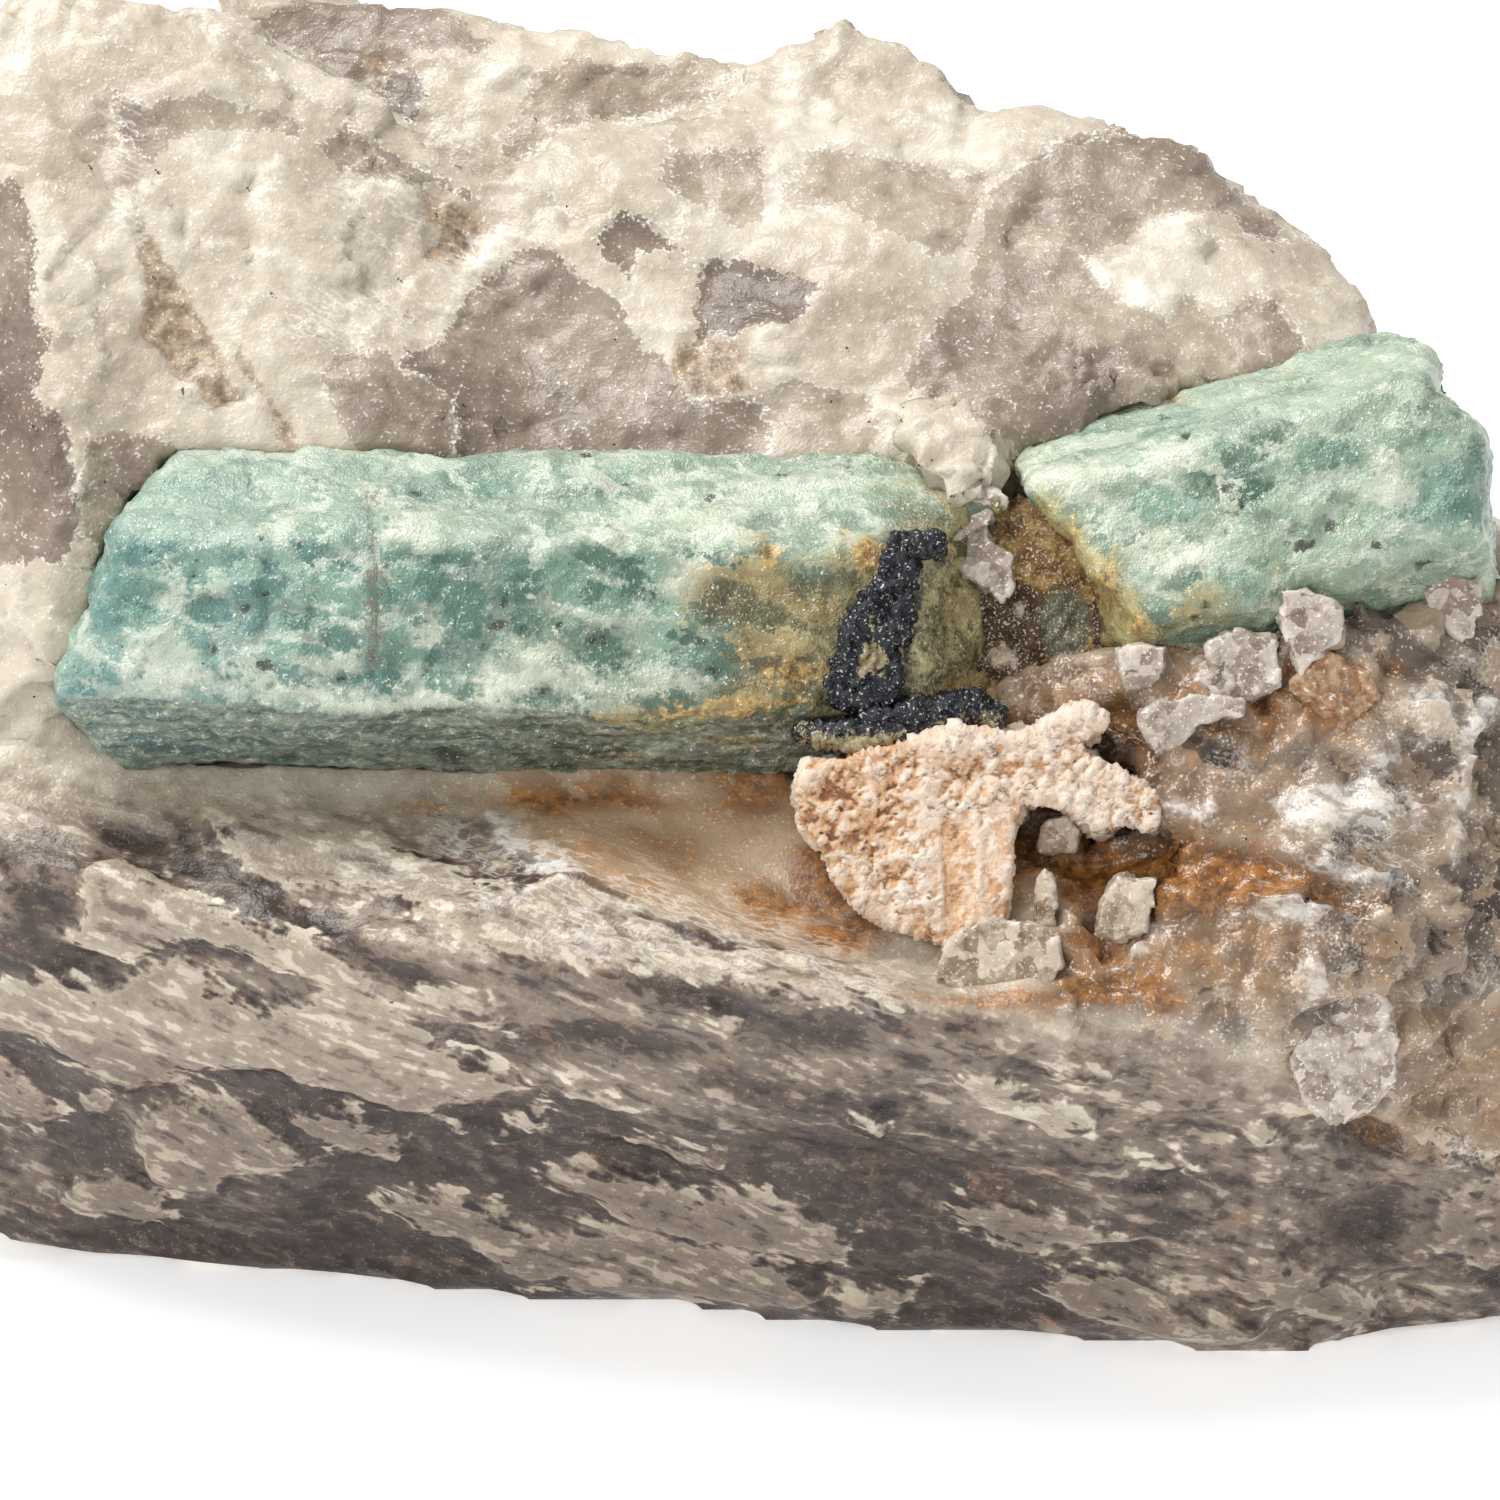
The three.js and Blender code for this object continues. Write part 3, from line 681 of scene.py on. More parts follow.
# Dark patches in the hollows of the lower slope: dark smoky quartz, with painted shade in the hollows.
DARK_HOLLOWS = [
    [(15, 885), (45, 880), (78, 895), (78, 920), (60, 925), (40, 930), (80, 950), (100, 965), (80, 975),
     (40, 975), (-60, 970), (-60, 930), (20, 925), (15, 900)],
    [(90, 990), (120, 985), (150, 970), (170, 960), (160, 980), (120, 995)],
    [(280, 905), (310, 905), (340, 920), (370, 955), (420, 960), (460, 985), (400, 985), (385, 975),
     (340, 945), (300, 925)],
    [(90, 815), (130, 825), (160, 835), (160, 850), (140, 850), (110, 840)],
    [(220, 1072), (250, 1068), (300, 1080), (340, 1092), (400, 1110), (480, 1105), (560, 1090), (600, 1105),
     (700, 1150), (640, 1160), (560, 1165), (540, 1178), (600, 1205), (625, 1225), (540, 1225), (500, 1200),
     (440, 1185), (400, 1180), (330, 1195), (310, 1160), (300, 1130), (280, 1110), (250, 1095)],
    [(-60, 1020), (40, 1025), (60, 1070), (110, 1090), (130, 1130), (140, 1180), (60, 1170), (20, 1130),
     (60, 1120), (30, 1080), (-60, 1050)],
    [(180, 1215), (240, 1215), (300, 1225), (370, 1235), (440, 1240), (500, 1275), (560, 1290), (640, 1315),
     (500, 1300), (300, 1280), (120, 1262), (60, 1235), (120, 1228)],
    [(760, 1140), (820, 1135), (900, 1150), (960, 1165), (1030, 1185), (1090, 1200), (1000, 1195),
     (940, 1200), (900, 1215), (960, 1240), (1020, 1260), (1040, 1300), (1020, 1345), (900, 1340),
     (800, 1330), (660, 1325), (700, 1305), (840, 1320), (930, 1300), (900, 1265), (860, 1240), (800, 1195),
     (740, 1175)],
    [(1110, 1240), (1150, 1242), (1145, 1262), (1115, 1258)],
    [(1338, 1128), (1360, 1118), (1400, 1130), (1450, 1150), (1400, 1152), (1350, 1145)],
    [(1320, 1215), (1360, 1200), (1400, 1190), (1410, 1230), (1380, 1255), (1330, 1240)],
    [(620, 985), (680, 975), (740, 990), (800, 1010), (860, 1020), (870, 1045), (800, 1045), (740, 1030),
     (680, 1000)],
    [(500, 1040), (560, 1020), (640, 1030), (700, 1050), (660, 1060), (600, 1045), (540, 1045)],
    [(440, 1025), (470, 1030), (500, 1055), (510, 1075), (480, 1065), (450, 1048)],
]
# Rusty cracks and the dark ledge below the feldspar, and the tan and the bright quartz around them.
CREVICES = [
    [(1012, 815), (1060, 818), (1100, 838), (1180, 833), (1250, 848), (1290, 862), (1330, 873), (1382, 900),
     (1366, 928), (1320, 902), (1260, 887), (1180, 880), (1110, 880), (1050, 870), (1012, 862)],
    [(1195, 735), (1220, 722), (1245, 712), (1243, 722), (1215, 737), (1195, 742)],
    [(1010, 790), (1035, 800), (1030, 850), (1012, 850)],
    [(1090, 690), (1125, 700), (1160, 730), (1165, 775), (1120, 760), (1090, 735)],
    [(1140, 650), (1150, 640), (1210, 622), (1215, 630), (1150, 652)],
    [(1285, 660), (1300, 668), (1290, 690), (1275, 690)],
    [(1370, 655), (1400, 660), (1415, 672), (1385, 678)],
    [(1060, 935), (1110, 940), (1105, 950), (1062, 945)],
    [(770, 735), (850, 725), (860, 745), (855, 765), (830, 770), (800, 785), (780, 765)],
    [(1340, 1128), (1375, 1120), (1400, 1140), (1350, 1142)],
    [(1250, 700), (1270, 690), (1290, 720), (1270, 745)],
]
TAN = [
    [(1120, 890), (1300, 895), (1335, 950), (1290, 1015), (1180, 1015), (1060, 990), (1065, 940),
     (1130, 930)],
    [(1160, 645), (1215, 628), (1222, 660), (1205, 700), (1165, 702)],
    [(1240, 690), (1300, 640), (1310, 720), (1255, 775)],
    [(1160, 760), (1300, 780), (1300, 840), (1170, 835)],
    [(1390, 1010), (1560, 1000), (1560, 1140), (1400, 1130)],
    [(1330, 930), (1400, 930), (1390, 1000), (1360, 950)],
    [(1020, 660), (1100, 660), (1130, 700), (1060, 720), (1010, 720)],
]
BRIGHT = [
    [(1270, 800), (1330, 788), (1420, 798), (1428, 820), (1350, 832), (1290, 827)],
    [(1280, 848), (1330, 863), (1412, 868), (1405, 882), (1320, 882)],
    [(1455, 720), (1470, 700), (1495, 688), (1502, 700), (1477, 740), (1467, 800), (1462, 862),
     (1450, 862)],
    [(1300, 960), (1320, 948), (1327, 1000), (1305, 1012)],
    [(1340, 1040), (1370, 1028), (1377, 1050), (1350, 1062)],
    [(1165, 799), (1200, 803), (1237, 812), (1200, 822), (1165, 814)],
    [(1105, 935), (1150, 923), (1172, 940), (1130, 957)],
    [(1240, 905), (1290, 900), (1330, 910), (1300, 925), (1260, 920)],
    [(1400, 690), (1440, 680), (1450, 720), (1420, 750)], [(1160, 560), (1180, 555), (1180, 565)],
    [(1190, 655), (1230, 648), (1240, 690), (1210, 700)],
    [(1340, 800), (1390, 740), (1400, 760), (1360, 810)],
    [(480, 805), (560, 850), (590, 875), (560, 880), (500, 850)],
]
QUARTZ_PATCHES = {
    "smoky": SMOKY, "deep": DEEP_SMOKE, "hazy": HAZY, "umber": UMBER, "pale": PALE, "frost": FROST,
    "plates": LIGHT_PLATES, "dark": DARK_HOLLOWS, "crevice": CREVICES, "tan": TAN, "bright": BRIGHT,
}
# Where bright cleavage fibres run through the quartz.
FIBRES = [
    [(330, 165), (425, 165), (435, 225), (400, 262), (325, 220)],
    [(440, 225), (530, 222), (525, 262), (470, 315), (440, 335), (438, 280)],
    [(280, 282), (400, 276), (440, 300), (400, 342), (285, 345)],
    [(100, 100), (145, 100), (145, 245), (108, 240)], [(1280, 795), (1430, 790), (1430, 885), (1270, 880)],
    [(430, 800), (640, 860), (900, 960), (900, 1010), (640, 970), (450, 900)],
]
# Rust: right and down on the sheet, half width, half height, strength.
RUST = [
    (570, 802, 160, 18, 0.75), (660, 850, 120, 60, 0.42), (822, 880, 38, 52, 1.0), (760, 790, 64, 32, 0.75),
    (770, 900, 40, 30, 0.9), (850, 935, 60, 20, 0.9), (1170, 880, 150, 34, 1.2), (1070, 850, 60, 40, 0.8),
    (1200, 900, 90, 24, 0.8), (1110, 985, 60, 22, 0.9), (1165, 1002, 26, 12, 1.1), (1100, 940, 40, 30, 0.6),
    (970, 650, 52, 90, 0.5), (1340, 698, 48, 44, 0.55), (1210, 720, 100, 60, 0.35),
    (990, 1000, 110, 12, 0.7), (910, 470, 30, 20, 0.25), (1150, 940, 160, 64, 0.35),
    (640, 1040, 10, 6, 0.3), (1100, 860, 40, 40, 0.5),
]
# Below this line the underside is painted darker, as painted shade.
BAND_LINE = [(-200, 1010), (0, 1025), (250, 1065), (500, 1095), (750, 1120), (1000, 1160), (1250, 1200),
             (1500, 1190), (1700, 1180)]
# The smooth hollow under the crystal, the tooth above the break, and the glassy shoulder at the right.
HOLLOW = [(500, 790), (640, 780), (800, 770), (815, 900), (860, 950), (730, 925), (610, 885), (530, 830)]
TOOTH = [(875, 375), (935, 372), (960, 395), (1000, 440), (1012, 480), (1005, 508), (960, 505), (915, 480),
         (890, 440)]
SHOULDER = [(1000, 660), (1150, 630), (1290, 560), (1560, 560), (1560, 1180), (1400, 1160), (1250, 1050),
            (1050, 1010), (1010, 900)]


def quartz_piece():
    piece = fine_copy("quartz_matrix", "quartz_stone", QUARTZ_GRAIN)
    split_shown_faces(piece.data)
    skin = StoneSkin(piece)
    low, high = (np.array(corner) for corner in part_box("quartz_matrix"))
    off_the_table = np.clip((skin.spot[:, 2] - 0.6) / 1.5, 0, 1)
    minerals = surface_of("aquamarine_long", "aquamarine_short", "feldspar_mass", "tourmaline_seam")
    moved = drawn_to(skin.raised(skin.relief() * off_the_table), skin.normals, minerals, 1.3 * MM, 0.5 * MM)
    skin.put(np.clip(moved, low, high))
    rust = blobs(skin.places, RUST, skin.shown) + 0.25 * skin.ragged
    skin.keep(skin.patches)
    skin.keep({"fibres": skin.zone(FIBRES, 1.5), "tone": skin.tone(), "band": skin.band, "rust": rust,
               "lower": skin.lower, "shoulder": skin.shoulder, "hollow": skin.hollow})
    finish_piece(piece, quartz_finish(), "quartz", "quartz_matrix")


class StoneSkin(Skin):
    """The quartz stone's points, the patches they lie in, and the noise that its relief and colour share."""

    def __init__(self, piece):
        super().__init__(piece)
        spot, places = self.spot, self.places
        self.shown = self.facing(-0.15) & (self.depth > -32)
        self.ragged = 0.4 * rough_noise(spot, 1.7, 31)
        self.patches = {name: deepest(places, outlines, self.shown)
                        for name, outlines in QUARTZ_PATCHES.items()}
        clouds = rough_noise(spot, 9, 57)
        behind = {"smoky": 2.5 * clouds - 1.2, "pale": -2.5 * clouds - 1.2,
                  "hazy": 3 * rough_noise(spot, 6, 59) - 1}
        for name, field in behind.items():
            self.patches[name] = np.where(self.shown, self.patches[name], field)
        self.hollow = self.zone([HOLLOW], 2.0)
        self.shoulder = self.zone([SHOULDER], 2.0)
        # band is 1 below BAND_LINE, where the underside is painted darker as painted shade.
        self.band = np.clip((line_height(places, BAND_LINE) - places[:, 1]) / 3 + 0.5, 0, 1)
        slope_top = np.interp(places[:, 0], (-40, -10, 10, 40), (-0.5, -3, -11, -19))
        self.lower = np.clip((slope_top - places[:, 1]) / 3, 0, 1) * self.shown
        self.drawn_out = drawn_along(places, self.depth, STREAK_ANGLE, 2.4)
        self.wandering = wobbled(self.drawn_out, 0.8, 2.5, 33)
        self.streaks = rough_noise(self.wandering, 2.2, 35)
        self.wobbly = wobbled(spot, 0.35, 1.2, 37)
        self.shards = broken_blocks(self.wobbly, 3.0, 27)

    def inside(self, field, soft):
        return np.clip(0.5 + (field + self.ragged) / soft, 0, 1)

    def zone(self, outlines, soft):
        """1 inside the outlines and 0 outside, with a ragged border."""
        return self.inside(deepest(self.places, outlines, self.shown), soft)

    def relief(self):
        spot, ragged = self.spot, self.ragged[:, None]
        relief = 0.5 * (scallops(spot, 7, 3) - 0.5) + 0.35 * broken_blocks(spot + 1.5 * ragged, 5.0, 7)
        relief += 0.24 * facets(spot, 3.0, 9) + 0.1 * facets(spot, 1.4, 13)
        relief += 0.04 * rough_noise(spot, 1.1, 17)
        slope = 0.6 * (scallops(self.drawn_out, 4.6, 19) - 0.5) + 0.12 * self.streaks
        slope += 0.25 * (scallops(self.wandering, 1.8, 21) - 0.4)
        slope += 0.08 * rough_noise(self.drawn_out, 0.9, 23)
        relief = (relief + (slope - relief) * self.lower) * (1 - 0.8 * self.hollow)
        behind = 1.6 * (scallops(spot, 10, 61) - 0.4) + 0.6 * broken_blocks(self.wobbly, 5.5, 63)
        relief += np.where(self.shown, 0, behind)
        relief += self.zone([TOOTH], 1.0) * (0.5 * broken_blocks(self.wobbly, 1.9, 25) - 0.2)
        relief += self.shoulder * (0.75 * self.shards + 0.3 * broken_blocks(self.wobbly, 1.2, 28))
        for name, (height, soft) in PATCH_RELIEF.items():
            relief += height * self.inside(self.patches[name], soft)
        return relief + 0.5 * self.inside(self.patches["plates"], 0.6) * self.lower

    def tone(self):
        """How light the quartz is, from 0 to 1, before the shader's patches."""
        across = self.places[:, 0]
        blotches = rough_noise(wobbled(self.spot, 0.8, 2, 39), 5.5, 41)
        slope = 0.33 + 0.15 * self.streaks + 0.05 * blotches - 0.05 * np.clip(across / 10 + 0.5, 0, 1)
        # Painted shade: the slope is painted darker below the band line.
        slope += self.band * (0.13 * np.clip((across - 14) / 8, 0, 1) - 0.13)
        tone = 0.66 + 0.10 * blotches
        tone += (slope - tone) * self.lower
        tone += (0.40 + 0.16 * self.shards - tone) * self.shoulder * 0.85
        tone += (0.55 - tone) * self.hollow * 0.8
        return np.clip(tone, 0.02, 1)


# How much each kind of patch is raised, in millimetres, and how soft its border is.
PATCH_RELIEF = {
    "bright": (0.3, 0.5), "crevice": (-0.8, 1.0), "smoky": (-0.2, 0.5), "umber": (-0.35, 0.6),
    "dark": (-0.3, 1.2), "pale": (0.12, 0.6), "frost": (0.2, 0.6),
}
# The quartz's colours from the darkest tone to the lightest.
QUARTZ_TONES = [
    (0.0, (38, 28, 24)), (0.2, (78, 64, 56)), (0.4, (130, 115, 101)), (0.55, (168, 154, 136)),
    (0.7, (198, 187, 169)), (0.85, (220, 211, 197)), (1.0, (244, 240, 232)),
]


def quartz_tone(paint, fine, streaks, lower):
    """The stone's tone with its hazy, smoky and frosted patches, and the plates and hollows of its slope."""
    edge = (fine - 0.5) * 2.0
    slope_edge = (streaks - 0.5) * 3.2 + (fine - 0.5) * 1.2

    def crisp(name, soft=0.15):
        return paint.crisp(name, edge, soft)

    tone = paint.field("tone") + (fine - 0.5) * (lower * 0.1 + 0.24) + (streaks - 0.5) * (lower * 0.45 + 0.1)
    smoke = paint.maths("MAXIMUM", crisp("hazy") * 0.16, crisp("smoky") * 0.28)
    tone = tone - paint.maths("MAXIMUM", smoke, crisp("deep") * 0.2) + crisp("pale") * 0.045
    tone = tone + crisp("frost", 0.6) * 0.1
    # The dark hollows are painted nearly black: dark quartz and painted shade.
    dark = paint.step(paint.field("dark") + slope_edge, -0.3, 0.4) * lower * 0.9
    tone = tone - (tone - 0.07 - (fine - 0.5) * 0.35) * dark
    plates = paint.field("plates") + slope_edge
    # Painted shade: plates below the band line are painted darker too.
    plate_tone = 0.51 - paint.field("band") * 0.15 + (fine - 0.5) * 0.25 + (streaks - 0.5) * 0.4
    tone = tone + (plate_tone - tone) * paint.step(plates, -0.3, 0.2) * lower * 0.88
    # Painted highlight: the plates' edges are painted lighter, as edges that catch the light.
    plate_edge_highlights = paint.step(paint.maths("ABSOLUTE", plates - 0.25), 0.3, 0.0) * 0.1
    flecks = streaks + fine * 0.4
    scraps = paint.step(flecks, 0.78, 0.82) * 0.13 - paint.step(flecks, 0.62, 0.57) * 0.09
    return tone + (plate_edge_highlights + scraps) * lower


def quartz_finish():
    paint = Paint("milky and smoky quartz")
    fine = paint.noise(0.8, 3, 0.65)
    grain = paint.noise(0.17, 0, 0.5)
    along, over = paint.turned(STREAK_ANGLE)
    streaks = paint.noise(0.9, 2, 0.65, paint.joined(along * 0.3, over, paint.depth))
    lower = paint.field("lower")
    shoulder = paint.field("shoulder")
    edge = (fine - 0.5) * 2.0

    def crisp(name, soft=0.15):
        return paint.crisp(name, edge, soft)

    def rim(name, wide):
        return paint.step(paint.maths("ABSOLUTE", paint.field(name) + edge), wide, 0.0)

    shard_place = paint.joined(along * 0.6, over, paint.depth)
    shard_place = paint.vector("ADD", shard_place, paint.joined(edge, edge * -0.6, edge))
    shard_edge, shard = paint.cells(1.7, shard_place)
    tone = quartz_tone(paint, fine, streaks, lower) + (shard - 0.5) * shoulder * 0.34
    colour = paint.ramp(tone, QUARTZ_TONES)
    sand = paint.mix(paint.step(fine, 0.3, 0.7), (98, 74, 50), (186, 164, 138))
    colour = paint.mix(crisp("umber") * 0.85, colour, sand)
    colour = paint.mix(paint.field("hollow") * 0.6, colour, (196, 164, 128))
    warm = paint.step(shard, 0.35, 0.75) * shoulder * 0.4 + crisp("tan", 0.8) * 0.5
    colour = paint.mix(warm, colour, paint.mix(fine, (110, 80, 54), (188, 156, 122)))
    shine = crisp("bright", 0.3) * (paint.step(streaks, 0.42, 0.6) * 0.5 + 0.2)
    colour = paint.mix(shine, colour, (232, 227, 219))
    colour = paint.mix(crisp("crevice", 0.3) * 0.85, colour, paint.mix(fine, (28, 18, 10), (150, 104, 58)))
    rust = paint.step(paint.field("rust") + (fine - 0.5) * 0.6 + (shard - 0.5) * 0.3, 0.08, 0.75)
    rust_colour = paint.mix(paint.step(fine, 0.3, 0.7), (94, 56, 22), (166, 112, 54))
    colour = paint.mix(rust * 0.9, colour, rust_colour)
    fibres = paint.step(paint.maths("ABSOLUTE", streaks - 0.5), 0.05, 0.0) * paint.field("fibres")
    shard_rims = paint.step(shard_edge, 0.5, 0.8) * shoulder * 0.5
    rims = rim("smoky", 0.2) + rim("hazy", 0.14) + rim("pale", 0.14) + shard_rims
    rims = rims * paint.step(grain + streaks, 0.95, 1.1) * (1 - rust * 0.8)
    sparkle = paint.step(grain, 0.66, 0.74) * paint.step(fine, 0.42, 0.6)
    sparkle = sparkle * (1 - lower * 0.8) * (1 - rust * 0.6)
    colour = paint.mix(fibres * 0.3 + sparkle * 0.52 + rims * 0.45, colour, (246, 243, 236))
    colour = paint.mix((shard_edge < 0.05) * (shard > 0.45), colour, (52, 38, 28))
    normal = paint.bump(fine * 0.38 + grain * 0.06, 0.45 * MM, 0.7)
    return paint.surface(Base_Color=colour, Roughness=0.38 - shoulder * 0.18, Normal=normal, IOR=1.54,
                         Specular_IOR_Level=0.4)


# The aquamarine, with outlines and spots on the same sheet.

TEAL = [
    [(175, 548), (200, 553), (225, 575), (232, 600), (215, 622), (190, 630), (182, 605), (170, 585)],
    [(118, 590), (140, 576), (175, 575), (182, 603), (165, 612), (150, 625), (120, 615)],
    [(315, 560), (335, 545), (362, 528), (356, 555), (345, 580), (320, 602), (303, 590)],
    [(300, 600), (335, 590), (370, 585), (372, 600), (362, 620), (350, 645), (335, 655), (300, 660),
     (280, 650), (270, 635), (285, 610)],
    [(380, 600), (400, 598), (412, 605), (408, 625), (395, 640), (380, 638)],
    [(385, 562), (410, 545), (440, 550), (457, 560), (450, 590), (420, 610), (400, 592), (380, 592)],
    [(500, 562), (530, 558), (560, 552), (600, 550), (630, 546), (652, 560), (662, 590), (640, 605),
     (590, 612), (570, 612), (555, 600), (540, 590), (505, 582)],
    [(430, 602), (450, 590), (480, 585), (502, 590), (500, 606), (470, 615), (440, 627), (428, 617)],
    [(397, 650), (440, 643), (472, 650), (462, 680), (450, 697), (405, 687), (393, 667)],
    [(655, 605), (682, 600), (672, 620), (666, 638), (700, 633), (714, 650), (680, 666), (650, 662),
     (640, 630)],
    [(440, 470), (520, 465), (530, 500), (505, 520), (480, 500), (450, 482)],
    [(100, 690), (140, 700), (152, 715), (142, 735), (120, 737), (93, 705)],
    [(560, 480), (600, 478), (640, 490), (620, 512), (570, 510)],
    [(250, 452), (300, 450), (300, 462), (230, 470)],
    [(1135, 490), (1150, 480), (1167, 495), (1152, 517), (1135, 512)],
    [(1165, 500), (1200, 490), (1212, 500), (1190, 522), (1165, 522)],
    [(1243, 475), (1275, 460), (1282, 475), (1260, 497), (1243, 497)],
    [(1300, 450), (1320, 428), (1330, 435), (1345, 423), (1352, 440), (1367, 445), (1366, 470), (1350, 480),
     (1340, 492), (1310, 492), (1288, 475)],
    [(1420, 475), (1450, 458), (1482, 480), (1484, 520), (1460, 532), (1440, 517), (1423, 500)],
    [(1378, 520), (1400, 513), (1417, 525), (1405, 542), (1383, 537)],
    [(1258, 520), (1290, 514), (1292, 532), (1263, 537)],
    [(1218, 570), (1252, 563), (1247, 582), (1223, 587)],
    [(1243, 585), (1267, 582), (1262, 600), (1243, 597)],
    [(1060, 437), (1120, 424), (1190, 413), (1202, 435), (1150, 450), (1090, 456)],
    [(1405, 430), (1440, 425), (1450, 440), (1420, 448)],
    [(1220, 430), (1250, 425), (1240, 445), (1215, 450)],
]
WHITISH = [
    [(262, 515), (275, 504), (302, 510), (300, 526), (280, 537), (264, 528)],
    [(353, 500), (375, 489), (402, 500), (417, 515), (422, 531), (395, 550), (380, 546), (375, 520),
     (360, 508)],
    [(588, 525), (620, 524), (634, 533), (620, 546), (588, 549)],
    [(688, 510), (730, 499), (768, 515), (752, 530), (720, 536), (690, 526)],
    [(478, 665), (500, 650), (520, 640), (550, 645), (562, 665), (590, 670), (602, 690), (570, 700),
     (540, 690), (510, 700), (470, 706), (474, 685)],
    [(228, 692), (300, 680), (370, 680), (420, 690), (470, 700), (560, 700), (642, 700), (640, 709),
     (560, 713), (470, 713), (330, 709), (230, 704)],
    [(138, 640), (170, 628), (192, 640), (202, 670), (182, 692), (150, 692), (133, 670)],
    [(298, 657), (330, 655), (352, 650), (357, 665), (330, 682), (298, 677)],
    [(423, 610), (447, 604), (452, 625), (430, 647), (418, 640)],
    [(668, 585), (700, 560), (762, 530), (768, 545), (722, 572), (690, 592)],
    [(640, 672), (700, 665), (722, 680), (690, 696), (640, 696)],
    [(810, 500), (832, 520), (850, 545), (835, 545), (815, 520)],
    [(1000, 465), (1050, 461), (1100, 465), (1132, 470), (1100, 486), (1050, 497), (1008, 491)],
    [(1163, 455), (1190, 449), (1207, 460), (1190, 472), (1168, 469)],
    [(1212, 470), (1240, 460), (1245, 500), (1232, 530), (1215, 540), (1225, 510)],
    [(1130, 545), (1170, 530), (1215, 545), (1200, 580), (1160, 590), (1140, 570)],
    [(1370, 440), (1400, 455), (1410, 500), (1385, 510), (1370, 480)],
]
OLIVE = [
    [(690, 597), (700, 578), (740, 560), (762, 543), (792, 560), (812, 572), (850, 556), (880, 545),
     (905, 500), (960, 510), (1000, 540), (1020, 700), (900, 712), (600, 712), (700, 700), (735, 672),
     (720, 655), (740, 637), (710, 632), (690, 612)],
    [(985, 500), (1040, 500), (1070, 508), (1088, 530), (1112, 570), (1137, 600), (1157, 636), (1130, 650),
     (1040, 700), (985, 700)],
    [(1150, 625), (1200, 590), (1225, 598), (1200, 625), (1155, 645)],
]
# The broken end of the left crystal, and the yellow band along the break in the right one.
END_FACE = [(903, 610), (912, 565), (928, 545), (955, 570), (975, 600), (970, 650), (945, 690), (905, 706),
            (900, 660)]
GOLDEN_BAND = [(1030, 498), (1058, 500), (1100, 545), (1157, 632), (1150, 648), (1120, 640), (1085, 585),
               (1060, 545)]
CRACKS = [
    [(371, 500), (378, 500), (380, 560), (383, 592), (379, 640), (377, 690), (369, 690), (372, 640),
     (375, 592), (371, 560)],
]
HEALED_CRACKS = [
    [(534, 452), (541, 452), (543, 500), (541, 540), (534, 600), (527, 600), (534, 540), (536, 500)],
    [(314, 470), (319, 470), (324, 520), (318, 570), (313, 570), (319, 520)],
    [(420, 458), (450, 466), (468, 482), (478, 505), (472, 505), (462, 486), (446, 472), (418, 463)],
]
CRYSTAL_PATCHES = {
    "teal": TEAL, "whitish": WHITISH, "olive": OLIVE, "end_face": [END_FACE], "golden": [GOLDEN_BAND],
    "cracks": CRACKS, "healed": HEALED_CRACKS,
}
# Spots: right, down, half width, half height, strength. The right end is bluer, as the left crystal is.
OCHRE = [
    (770, 556, 16, 16, 0.9), (868, 556, 16, 18, 1.2), (843, 540, 10, 14, 0.8), (790, 672, 60, 24, 0.75),
    (760, 700, 140, 5, 0.9), (700, 708, 110, 4, 0.9), (850, 705, 60, 6, 0.8), (880, 500, 40, 22, 0.45),
    (935, 545, 20, 16, 0.7), (960, 600, 18, 60, 0.6), (960, 690, 30, 20, 0.9), (1000, 497, 14, 12, 1.2),
    (1010, 545, 30, 24, 1.0), (1050, 560, 30, 22, 0.9), (1075, 540, 12, 40, 0.7), (1110, 590, 20, 40, 0.9),
    (1140, 625, 14, 20, 0.9), (1170, 400, 26, 9, 0.7), (1285, 375, 20, 7, 0.5), (1330, 348, 24, 6, 0.6),
    (1010, 455, 18, 12, 0.5), (1225, 595, 14, 8, 0.4), (640, 750, 90, 10, 0.5), (740, 735, 60, 12, 0.6),
    (1275, 570, 12, 20, 0.5), (1190, 612, 22, 14, 0.6),
]
